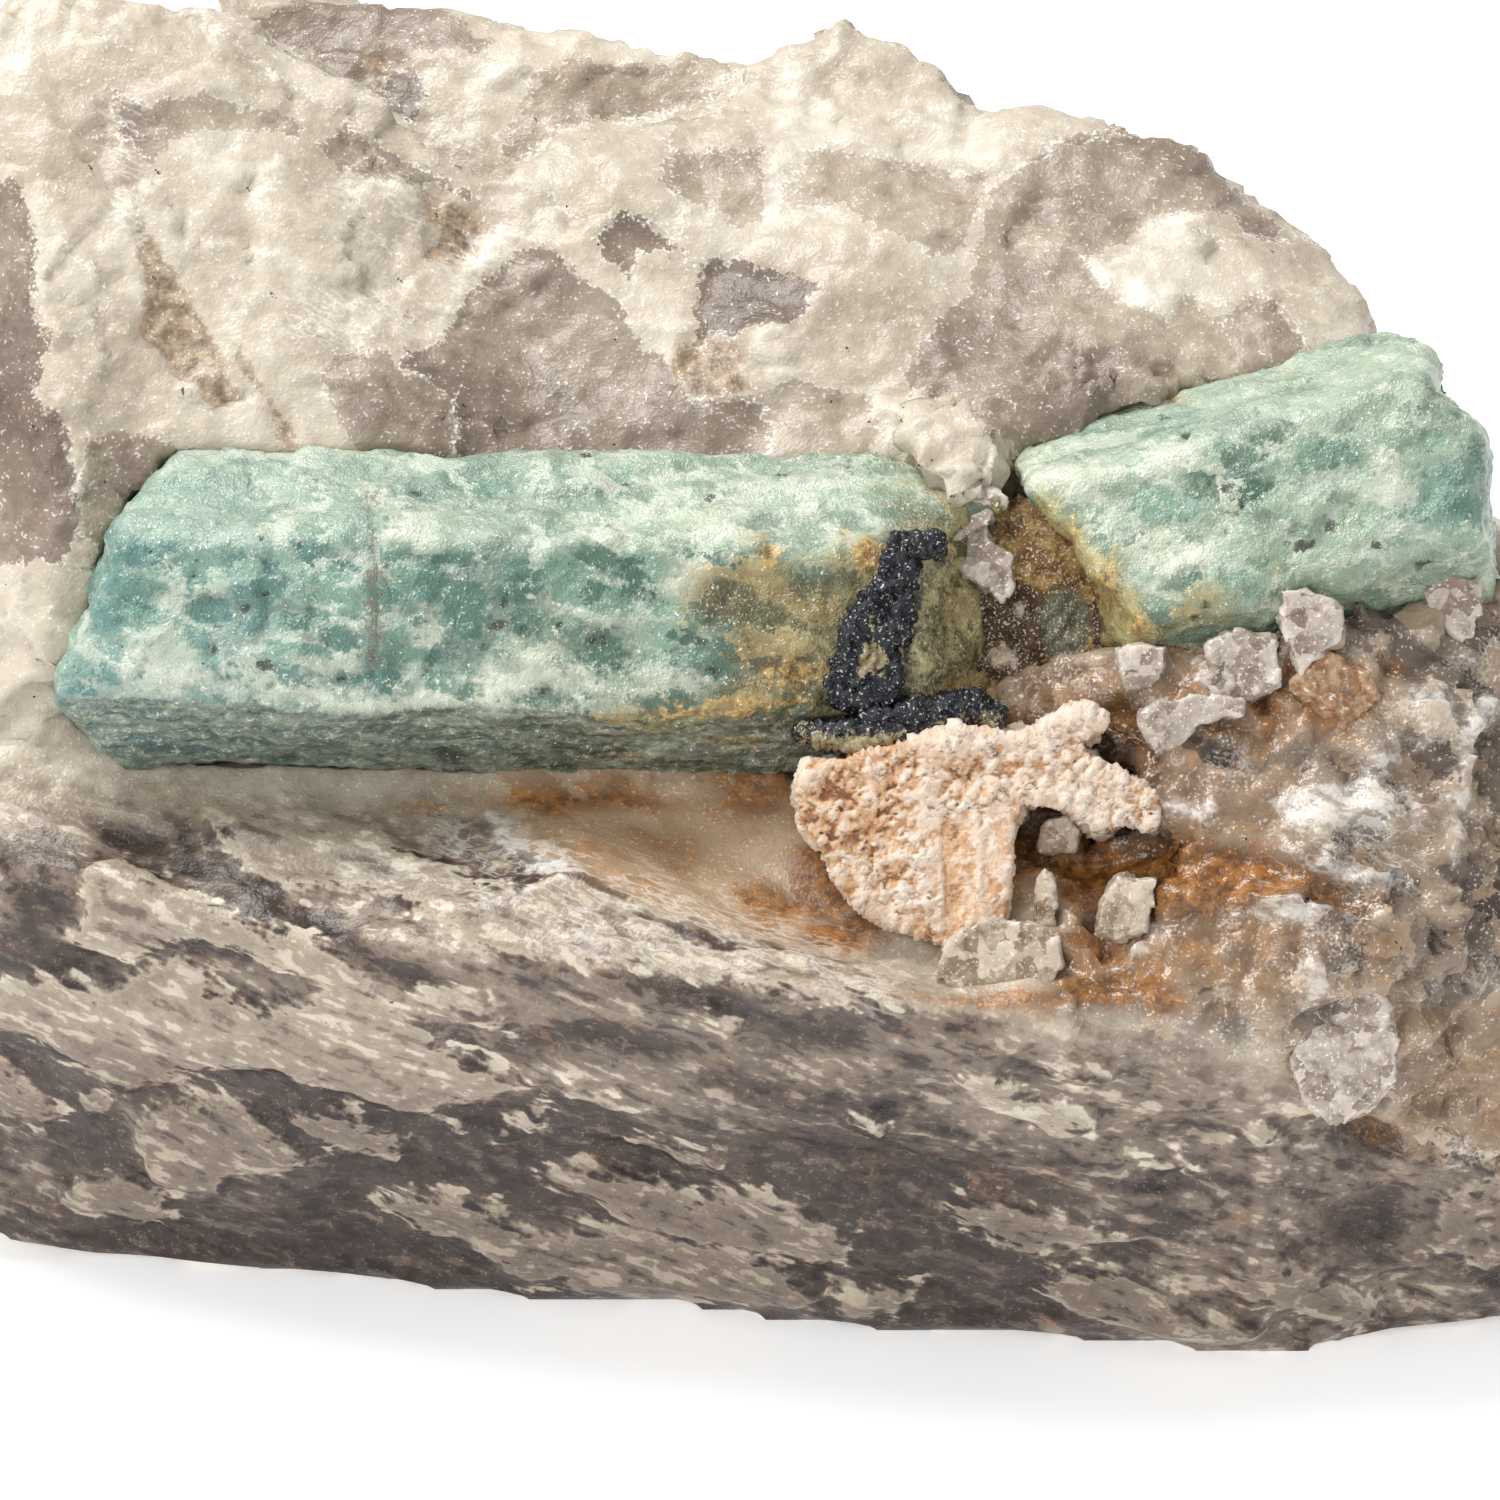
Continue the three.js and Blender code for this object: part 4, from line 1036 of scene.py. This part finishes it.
# Dark inclusions, and two spots of painted shade where the right crystal meets the quartz.
DARK_INCLUSIONS_AND_SHADE = [
    (920, 543, 16, 6, 1.2), (896, 560, 9, 14, 1.2), (882, 606, 16, 18, 1.1), (860, 676, 10, 22, 1.2),
    (918, 600, 6, 16, 1.2), (836, 702, 18, 8, 1.2), (900, 700, 14, 8, 1.2), (868, 640, 10, 12, 1.1),
    (905, 650, 5, 20, 1.1), (940, 560, 6, 8, 1), (150, 552, 4, 4, 1), (193, 576, 4, 4, 1),
    (245, 608, 7, 6, 1), (266, 594, 5, 4, 1), (262, 540, 5, 5, 1), (300, 548, 6, 5, 0.9),
    (265, 665, 12, 10, 1), (342, 679, 7, 5, 0.9), (417, 492, 9, 4, 1), (497, 625, 12, 9, 1),
    (504, 600, 6, 14, 1), (522, 630, 7, 7, 1), (440, 560, 9, 7, 0.8), (450, 750, 26, 12, 0.9),
    (545, 690, 11, 11, 0.9), (600, 640, 20, 12, 0.7), (215, 650, 6, 12, 0.9), (225, 678, 10, 5, 0.7),
    (586, 462, 9, 4, 1), (625, 486, 9, 3, 0.9), (560, 625, 6, 5, 0.9), (710, 500, 9, 5, 0.9),
    (712, 670, 14, 6, 0.9), (650, 595, 20, 14, 0.7), (785, 475, 11, 3, 0.9), (430, 620, 20, 8, 0.5),
    (330, 625, 24, 10, 0.4), (700, 640, 24, 12, 0.7), (1187, 437, 6, 4, 1.2), (1228, 488, 9, 11, 0.9),
    (1241, 505, 4, 14, 0.9), (1235, 515, 11, 6, 0.8), (1205, 605, 9, 7, 0.9), (1195, 618, 7, 5, 0.9),
    (1165, 417, 9, 3, 0.9), (1375, 545, 7, 7, 1), (1422, 567, 12, 8, 1), (1305, 545, 26, 9, 0.9),
    (1330, 525, 12, 12, 0.8), (560, 745, 20, 6, 0.7), (700, 755, 60, 6, 0.8),
]
BLUE_END = [(1455, 500, 60, 50, 1)]
# The rounding of the edges draws the crystals in, and this puts them back out.
CRYSTAL_SWELL = 0.25


def crystal_piece(node, name, slope, underside, pale):
    """One length of the crystal, whose long edges slope by an angle on the showing side."""
    piece = fine_copy(node, name, CRYSTAL_GRAIN, CRYSTAL_ROUNDS)
    skin = Skin(piece)
    spot, places = skin.spot, skin.places
    facing = skin.facing(-0.4)
    drawn_out = drawn_along(places, skin.depth, slope, 3.2)
    ragged = 0.3 * rough_noise(spot, 1.1, 45)
    marks = {mark: deepest(places, outlines, facing) for mark, outlines in CRYSTAL_PATCHES.items()}
    marks["ochre"] = blobs(places, OCHRE, facing)
    marks["specks"] = blobs(places, DARK_INCLUSIONS_AND_SHADE, facing)

    def inside(mark):
        return np.clip(0.5 + (marks[mark] + ragged) / 0.4, 0, 1)

    relief = 0.2 * rough_noise(drawn_out, 2.0, 41) + 0.3 * rough_noise(spot, 5.0, 53, 2)
    relief += 0.18 * broken_blocks(spot + ragged[:, None], 1.8, 47) + 0.08 * rough_noise(spot, 0.6, 49)
    relief += 0.2 * (scallops(drawn_out, 1.9, 43) - 0.5) + 0.1 * inside("whitish") - 0.08 * inside("teal")
    relief -= 0.3 * np.clip(marks["cracks"] / 0.1, 0, 1) + 0.25 * np.clip(marks["specks"], 0, 1)
    skin.put(skin.raised(relief + CRYSTAL_SWELL))
    upward = skin.normals @ UP
    # The downward-facing face is painted darker: painted shade, as strong as underside sets.
    marks["lower_face"] = np.clip((-upward - 0.45) / 0.2, 0, 1) * underside
    # The upward-facing part is painted paler: painted light from above.
    marks["upper_face"] = np.clip((upward + 0.35 * rough_noise(spot, 2.5, 55) - 0.1) / 0.7, 0, 1)
    marks["cloud"] = np.clip(0.5 + 0.5 * rough_noise(spot, 4, 51), 0, 1)
    marks["blue"] = np.clip((-8 - places[:, 0]) / 24, 0, 1) + 0.7 * blobs(places, BLUE_END, facing)
    skin.keep(marks)
    finish_piece(piece, aquamarine_finish(name, slope, pale), "aquamarine", node)


def aquamarine_finish(name, slope, pale):
    paint = Paint(name.replace("_", " ") + " crystal")
    along, over = paint.turned(slope)
    fine = paint.noise(0.55, 3, 0.68)
    grain = paint.noise(0.16, 1, 0.5)
    streaks = paint.noise(0.7, 3, 0.6, paint.joined(along * 0.22, over, paint.depth))
    push = (fine - 0.5) * 1.7
    border, shade = paint.cells(1.25, paint.joined(along * 0.6 + push, over - push, paint.depth + push))
    edge = (fine - 0.5) * 2.4 + (shade - 0.5) * 1.1
    cloud = paint.field("cloud")
    lower_face = paint.field("lower_face")

    def crisp(mark, soft):
        return paint.crisp(mark, edge, soft)

    base = paint.step(cloud * 0.6 + shade * 0.7 + pale, 0.42, 1.0)
    colour = paint.mix(base, (72, 102, 84), (152, 170, 146))
    colour = paint.mix(paint.field("blue") * 0.5, colour, (100, 150, 150))
    # Painted light: the upper face is painted paler.
    colour = paint.mix(paint.field("upper_face") * 0.42, colour, (186, 200, 178))
    colour = paint.mix(crisp("teal", 0.3) * 0.6, colour, paint.mix(shade, (62, 98, 84), (108, 148, 130)))
    colour = paint.mix(crisp("whitish", 0.5) * 0.54, colour, (212, 213, 193))
    colour = paint.mix(paint.step(fine, 0.42, 0.28) * 0.45, colour, (74, 92, 78))
    # The lower face's colour: painted shade, dark grey-green with the crystal's pale streaks on it.
    below = paint.mix(paint.field("blue"), (60, 66, 54), (70, 92, 92))
    below = paint.mix(paint.step(streaks * 0.6 + fine * 0.5, 0.4, 0.75), below, (156, 166, 148))
    colour = paint.mix(lower_face * 0.9, colour, below)
    murky = paint.mix(base, (82, 72, 34), (164, 152, 104))
    murky = paint.mix(paint.step(shade, 0.6, 0.8) * 0.6, murky, (140, 112, 52))
    olive = crisp("olive", 0.9)
    colour = paint.mix(olive * 0.85, colour, murky)
    colour = paint.mix(crisp("golden", 0.3) * 0.7, colour, paint.mix(fine, (150, 132, 62), (212, 206, 158)))
    end = paint.mix(paint.step(grain + fine, 0.8, 1.2), (66, 64, 44), (158, 150, 116))
    colour = paint.mix(crisp("end_face", 0.2) * 0.85, colour, end)
    ochre = paint.step(paint.field("ochre") + (fine - 0.5) * 1.0, 0.3, 0.9)
    rusty = paint.mix(paint.step(fine, 0.4, 0.6), (116, 76, 30), (200, 160, 84))
    colour = paint.mix(ochre * 0.75, colour, rusty)
    veins = paint.step(border + (streaks - 0.5) * 0.5, 0.52, 0.7) * (1 - lower_face * 0.8)
    veins = veins * (paint.step(cloud, 0.3, 0.7) * 0.34 + 0.14) + paint.step(fine, 0.56, 0.7) * 0.3
    colour = paint.mix(veins, colour, paint.mix(olive, (220, 222, 204), (204, 192, 140)))
    colour = paint.mix(crisp("healed", 0.1) * 0.5, colour, (212, 218, 202))
    colour = paint.mix(crisp("cracks", 0.1) * 0.7, colour, (112, 108, 94))
    # Dark specks: inclusions, and painted shade where the right crystal meets the quartz.
    specks = paint.step(paint.field("specks") + (fine - 0.5) * 1.6, 0.5, 0.8)
    colour = paint.mix(specks * 0.85, colour, (36, 40, 34))
    sparkle = paint.step(grain, 0.63, 0.7) * paint.step(fine, 0.44, 0.62)
    colour = paint.mix(sparkle * 0.7, colour, (246, 248, 238))
    colour = paint.mix((border < 0.06) * (shade > 0.6), colour, (34, 34, 30))
    normal = paint.bump(fine * 0.5 + grain * 0.2, 0.5 * MM, 0.8)
    return paint.surface(Base_Color=colour, Roughness=0.32, Normal=normal, IOR=1.58)


# The feldspar, with upright plates at its right end.

FELDSPAR_PLATES = [(930, 830), (1015, 800), (1010, 900), (985, 945), (940, 945)]


def feldspar_piece():
    piece = fine_copy("feldspar_mass", "feldspar_crumbs", FELDSPAR_GRAIN)
    skin = Skin(piece)
    spot, places = skin.spot, skin.places
    moved = wobbled(spot, 0.3, 0.7, 61)
    small, small_chance, _ = cells(moved, 0.33, 67)
    relief = crumbs(moved, 0.7, 63, 0.2, 0.2) + 0.24 * (0.7 - small) + 0.26 * (small_chance - 0.5)
    relief += 0.28 * rough_noise(spot, 1.5, 69)
    plates = np.clip(inside_by(places, FELDSPAR_PLATES) / 0.8 + 0.5, 0, 1)
    upright = np.stack([places[:, 0], places[:, 1] / 6, skin.depth / 2], axis=1)
    relief += plates * (crumbs(upright, 0.7, 71, 0, 0.4) - 0.7 * relief)
    skin.put(skin.raised(relief + 0.15))
    rusty = np.clip(1.5 - places[:, 0] * 0.1 - np.abs(places[:, 1] + 3) * 0.02, 0, 1)
    skin.keep({"pick": small_chance, "crevice": np.clip(0.45 - relief * 1.3, 0, 1), "rusty": rusty})
    finish_piece(piece, feldspar_finish(), "feldspar", "feldspar_mass")


def feldspar_finish():
    paint = Paint("crumbly feldspar")
    mottle = paint.noise(1.3, 4, 0.65)
    grain = paint.noise(0.25, 4, 0.65)
    colour = paint.mix(paint.step(mottle, 0.3, 0.7), (234, 204, 176), (248, 234, 218))
    stain = paint.field("crevice") * 1.1 - (paint.field("pick") - 0.5) * 0.5 + paint.field("rusty") * 0.3
    stain = stain + (mottle - 0.5) * 1.5 + (grain - 0.5) * 1.2
    colour = paint.mix(paint.step(stain, 0.4, 0.8) * 0.75, colour, (216, 158, 98))
    colour = paint.mix(paint.step(stain, 0.85, 1.2) * 0.8, colour, (140, 84, 42))
    # White specks on the grains: painted highlights.
    colour = paint.mix(paint.step(grain, 0.56, 0.7) * 0.5, colour, (250, 242, 232))
    return paint.surface(Base_Color=colour, Roughness=0.7, Normal=paint.bump(grain, 0.3 * MM, 0.9))


# The tourmaline, with pale stains and two gaps that show the crystal's colour.

SEAM_STAINS = [
    (880, 752, 70, 18, 1.2), (960, 722, 30, 8, 0.5), (820, 745, 30, 14, 0.8), (985, 725, 14, 16, 0.6),
]
CRUST_WINDOW = [
    [(858, 675), (862, 645), (872, 640), (886, 655), (884, 672)], [(866, 620), (872, 615), (872, 630)],
]


def tourmaline_piece(node, name, seed, swell):
    piece = fine_copy(node, name, TOURMALINE_GRAIN)
    skin = Skin(piece)
    relief = crumbs(wobbled(skin.spot, 0.25, 0.8, seed), 0.5, seed + 1, 0.35, 0.5)
    skin.put(skin.raised(relief + swell))
    skin.keep({"window": deepest(skin.places, CRUST_WINDOW, skin.facing(0)),
               "stain": blobs(skin.places, SEAM_STAINS, skin.facing(-0.5))})
    finish_piece(piece, tourmaline_finish(name), "tourmaline", node)


def tourmaline_finish(name):
    paint = Paint(name.replace("_", " ") + " black")
    fine = paint.noise(0.4, 4, 0.65)
    colour = paint.mix(paint.step(fine, 0.3, 0.75), (2, 3, 7), (26, 32, 46))
    stain = paint.field("stain") + paint.crisp("window", (fine - 0.5) * 1.2, 0.2)
    stain = paint.step(stain + (fine - 0.5) * 1.8, 0.3, 0.6)
    colour = paint.mix(stain * 0.85, colour, paint.mix(fine, (110, 92, 54), (206, 190, 146)))
    glints = paint.step(paint.noise(0.17, 2, 0.5), 0.61, 0.67)
    colour = paint.mix(glints * 0.75, colour, (216, 214, 206))
    return paint.surface(Base_Color=colour, Roughness=0.3, Normal=paint.bump(fine, 0.25 * MM, 0.9))


# The grit that fills the break between the crystals.

GRIT_OUTLINE = [(905, 700), (935, 640), (960, 560), (975, 525), (1000, 505), (1035, 500), (1075, 515),
                (1110, 570), (1150, 645), (1110, 668), (1060, 690), (1035, 716), (990, 724), (940, 716)]
GRIT_FRONT = -3.4
GRIT_BACK = -12
GRIT_PATCHES = {
    "teal": [
        [(1040, 600), (1060, 588), (1080, 592), (1092, 615), (1090, 645), (1070, 665), (1045, 655),
         (1036, 630)],
        [(905, 600), (925, 565), (958, 570), (965, 640), (940, 690), (905, 705)],
    ],
    "brown": [
        [(972, 600), (985, 588), (1003, 603), (1015, 580), (1035, 590), (1042, 640), (1050, 665), (1030, 690),
         (1000, 690), (975, 675), (970, 640)],
        [(1092, 600), (1115, 610), (1130, 640), (1100, 650), (1090, 630)],
    ],
    "pale": [
        [(985, 650), (1005, 645), (1020, 655), (1015, 668), (990, 665)],
        [(1010, 610), (1025, 605), (1025, 618)], [(1000, 695), (1020, 690), (1030, 705), (1010, 712)],
    ],
}


def grit_piece():
    piece = chip("grit_in_break", GRIT_OUTLINE, GRIT_BACK, GRIT_FRONT, (0, 0), CHIP_GRAIN, 3)
    skin = Skin(piece)
    relief = crumbs(wobbled(skin.spot, 0.25, 0.8, 71), 0.55, 73, 0.3, 0.3)
    skin.put(skin.raised(relief + 0.7 * rough_noise(skin.spot, 2.6, 75)))
    facing = skin.facing(-0.3)
    skin.keep({name: deepest(skin.places, outlines, facing) for name, outlines in GRIT_PATCHES.items()})
    finish_piece(piece, grit_finish(), "quartz")


def grit_finish():
    paint = Paint("rusty grit")
    fine = paint.noise(0.5, 4, 0.65)
    grain = paint.noise(0.15, 2, 0.5)
    edge = (fine - 0.5) * 1.6
    colour = paint.mix(paint.step(paint.noise(1.2, 3), 0.35, 0.65), (112, 78, 38), (184, 150, 92))
    colour = paint.mix(paint.crisp("teal", edge, 0.2) * 0.9, colour, (112, 116, 96))
    colour = paint.mix(paint.crisp("brown", edge, 0.2) * 0.9, colour, (66, 48, 34))
    colour = paint.mix(paint.crisp("pale", edge, 0.2) * 0.8, colour, (222, 204, 182))
    colour = paint.mix(paint.step(grain, 0.57, 0.64) * 0.75, colour, (236, 228, 212))
    normal = paint.bump(fine + grain * 0.4, 0.35 * MM, 0.9)
    return paint.surface(Base_Color=colour, Roughness=0.5, Normal=normal)


# The small broken pieces of quartz: name, outline, how thick, how proud of what lies under it, and how much
# the front tilts along and up.

BREAK_FLAKES = [
    ("flake_by_break", [(943, 546), (964, 527), (985, 512), (993, 539), (1012, 554), (1014, 585),
      (1003, 605), (987, 587), (964, 575), (950, 561)], 3.0, 1.6, (0.15, 0.1)),
    ("flake_above_break", [(905, 520), (935, 512), (960, 490), (990, 486), (1005, 500), (990, 525),
      (965, 540), (930, 545)], 4.0, 2.0, (-0.1, -0.25)),
]
MILKY_CHIPS = [
    ("chip_under_crystal", [(1118, 650), (1140, 643), (1167, 646), (1164, 672), (1150, 690), (1128, 690),
      (1120, 672)], 2.0, 0.7, (0.1, 0.25)),
    ("long_chip", [(1140, 715), (1160, 700), (1200, 697), (1245, 700), (1243, 715), (1200, 722),
      (1180, 745), (1155, 757), (1143, 735)], 2.0, 0.5, (0.0, 0.3)),
    ("block_by_grain", [(1282, 592), (1305, 588), (1342, 606), (1344, 640), (1325, 655), (1300, 678),
      (1292, 655), (1284, 630)], 2.5, 0.9, (-0.1, 0.2)),
    ("right_chip", [(1368, 575), (1400, 565), (1425, 578), (1430, 600), (1420, 640), (1395, 632),
      (1375, 612)], 2.5, 0.6, (0.1, 0.1)),
    ("corner_chip", [(1425, 590), (1450, 575), (1480, 580), (1476, 640), (1450, 636),
      (1430, 610)], 2.5, 0.6, (0.0, 0.2)),
    ("low_chip", [(1205, 640), (1240, 630), (1278, 640), (1280, 690), (1240, 700),
      (1215, 690)], 2.5, 0.5, (0.1, 0.15)),
    ("glassy_boss", [(1290, 1060), (1312, 1010), (1340, 965), (1362, 950), (1380, 985), (1398, 1035),
      (1396, 1080), (1370, 1108), (1335, 1124), (1300, 1100)], 4.0, 0.5, (0.05, 0.25)),
]
CLEAR_CHIPS = [
    ("clear_block_left", [(934, 975), (950, 940), (985, 918), (1030, 925), (1060, 940), (1063, 965),
      (1050, 991), (1000, 988), (960, 990)], 2.2, 2.0, (0.05, 0.2)),
    ("clear_block_right", [(1094, 935), (1102, 900), (1118, 877), (1158, 878), (1155, 905), (1140, 935),
      (1115, 941)], 2.0, 1.8, (0.1, 0.2)),
    ("clear_splinter", [(1031, 924), (1035, 880), (1048, 866), (1056, 900),
      (1050, 924)], 2.0, 1.6, (0.2, 0.1)),
    ("clear_chip_top", [(1036, 850), (1045, 822), (1068, 815), (1082, 830), (1075, 850),
      (1052, 856)], 2.0, 1.4, (0.1, 0.2)),
]
RUSTY_GRAIN = [(1290, 690), (1301, 668), (1322, 652), (1345, 655), (1366, 672), (1372, 690), (1384, 700),
               (1366, 722), (1345, 733), (1330, 748), (1306, 733), (1299, 712)]


def broken_pieces():
    ground = surface_of("quartz_matrix")
    for part in BREAK_FLAKES:
        quartz_chip(part, GRIT_FRONT, 3, MILKY)
    for part in MILKY_CHIPS:
        quartz_chip(part, depth_at(ground, *np.mean(part[1], axis=0)), 3, MILKY)
    for part in CLEAR_CHIPS:
        quartz_chip(part, depth_at(ground, *np.mean(part[1], axis=0)), 1, CLEARER)
    rusty_chip(depth_at(ground, *np.mean(RUSTY_GRAIN, axis=0)))


def quartz_chip(part, under, rounds, kind):
    name, outline, thick, proud, tilt = part
    piece = chip(name, outline, under - thick, under + proud, tilt, CHIP_GRAIN, rounds)
    skin = Skin(piece)
    relief = 0.24 * broken_blocks(skin.spot, 1.9, 101) + 0.14 * facets(skin.spot, 0.9, 103)
    skin.put(skin.raised(relief + 0.06 * rough_noise(skin.spot, 1.0, 105)))
    skin.keep({"rim": inside_by(skin.places, outline)})
    finish_piece(piece, chip_finish(name, *kind), "quartz")


# How much light each kind of chip lets through, and its darkest and lightest colour.
MILKY = (0.0, (134, 116, 100), (206, 194, 180))
CLEARER = (0.15, (152, 128, 102), (226, 210, 188))


def chip_finish(name, clear, dark, light):
    """Broken quartz, frosted along its edges."""
    paint = Paint(name.replace("_", " ") + " quartz")
    fine = paint.noise(0.7, 4, 0.62)
    grain = paint.noise(0.17, 2, 0.5)
    _, shard = paint.cells(0.9, paint.warped(0.8, 0.8))
    colour = paint.mix(paint.step(fine * 0.6 + shard * 0.5, 0.25, 0.85), dark, light)
    frosted = paint.step(paint.field("rim") + (fine - 0.5) * 3.0, 0.3, -0.3)
    colour = paint.mix(frosted * 0.45, colour, (232, 226, 216))
    # White specks: painted sparkle, as on the stone.
    colour = paint.mix(paint.step(grain, 0.6, 0.68) * 0.7, colour, (248, 246, 240))
    normal = paint.bump(fine * 0.4 + grain * 0.1 + shard * 0.6, 0.4 * MM, 0.7)
    return paint.surface(Base_Color=colour, Roughness=0.2, Normal=normal, IOR=1.54, Transmission_Weight=clear,
                         Subsurface_Weight=0.2, Subsurface_Radius=(1.0, 0.85, 0.7), Subsurface_Scale=1.0 * MM)


def rusty_chip(under):
    piece = chip("rusty_grain", RUSTY_GRAIN, under - 2, under + 0.6, (0, 0.3), RUSTY_CHIP_GRAIN, 5)
    skin = Skin(piece)
    skin.put(skin.raised(crumbs(skin.spot, 0.8, 111, 0.3, 0) + 0.7 * rough_noise(skin.spot, 2.0, 113)))
    finish_piece(piece, rusty_finish(), "feldspar")


def rusty_finish():
    paint = Paint("rust coated grain")
    fine = paint.noise(0.6, 4, 0.65)
    colour = paint.mix(paint.step(fine, 0.35, 0.65), (142, 100, 66), (200, 168, 136))
    colour = paint.mix(paint.step(paint.noise(0.3, 3, 0.6), 0.6, 0.68) * 0.8, colour, (244, 232, 218))
    return paint.surface(Base_Color=colour, Roughness=0.6, Normal=paint.bump(fine, 0.3 * MM, 0.8))


# The table, the light and the camera.

TABLE_REACH = 3.0
TABLE_GLOW = 0.4
SURROUND_STRENGTH = 0.62


def table():
    floor = bpy.data.meshes.new("table")
    corners = [(-1, -1), (1, -1), (1, 1), (-1, 1)]
    floor.from_pydata([(x * TABLE_REACH, y * TABLE_REACH, 0) for x, y in corners], [], [(0, 1, 2, 3)])
    plane = bpy.data.objects.new("table", floor)
    bpy.context.scene.collection.objects.link(plane)
    paint = Paint("white table")
    colour = paint.mix(paint.noise(40, 3), (243.4, 243.4, 243.4), (245.8, 245.8, 245.8))
    floor.materials.append(paint.surface(Base_Color=colour, Roughness=0.8, Emission_Color=colour,
                                         Emission_Strength=TABLE_GLOW))


def soft_box(name, place, size, power):
    """A round light that shines at the middle of the stone."""
    light = bpy.data.lights.new(name, "AREA")
    light.shape = "DISK"
    light.size = size
    light.energy = power
    lamp = bpy.data.objects.new(name, light)
    lamp.location = place
    lamp.rotation_euler = (Vector((0, 0, 0.03)) - Vector(place)).to_track_quat("-Z", "Y").to_euler()
    bpy.context.scene.collection.objects.link(lamp)


def light_and_camera():
    scene = bpy.context.scene
    world = bpy.data.worlds.new("soft white surround")
    world.use_nodes = True
    background = world.node_tree.nodes["Background"].inputs
    background["Color"].default_value = (1, 1, 1, 1)
    background["Strength"].default_value = SURROUND_STRENGTH
    scene.world = world
    soft_box("overhead soft box", (-0.2, 0.12, 0.55), 0.3, 3.0)
    soft_box("front left soft box", (-0.4, -0.5, 0.5), 0.35, 1.8)
    scene.view_settings.view_transform = "Standard"
    lens = bpy.data.cameras.new("close-up lens")
    lens.lens = 150
    lens.sensor_width = 36
    lens.clip_start = 0.01
    camera = bpy.data.objects.new("camera", lens)
    camera.location = Vector(SHOW_CENTRE + OUT * VIEW_DISTANCE)
    camera.rotation_euler = (math.pi / 2 - LEAN, 0, 0)
    scene.collection.objects.link(camera)
    scene.camera = camera


light_and_camera()
table()
quartz_piece()
crystal_piece("aquamarine_long", "aquamarine_left", math.radians(-0.8), underside=1.0, pale=0.0)
crystal_piece("aquamarine_short", "aquamarine_right", math.radians(15.5), underside=0.25, pale=0.27)
feldspar_piece()
grit_piece()
broken_pieces()
tourmaline_piece("tourmaline_crust", "tourmaline_on_crystal", 81, 0.1)
tourmaline_piece("tourmaline_seam", "tourmaline_under_crystal", 91, 0.2)
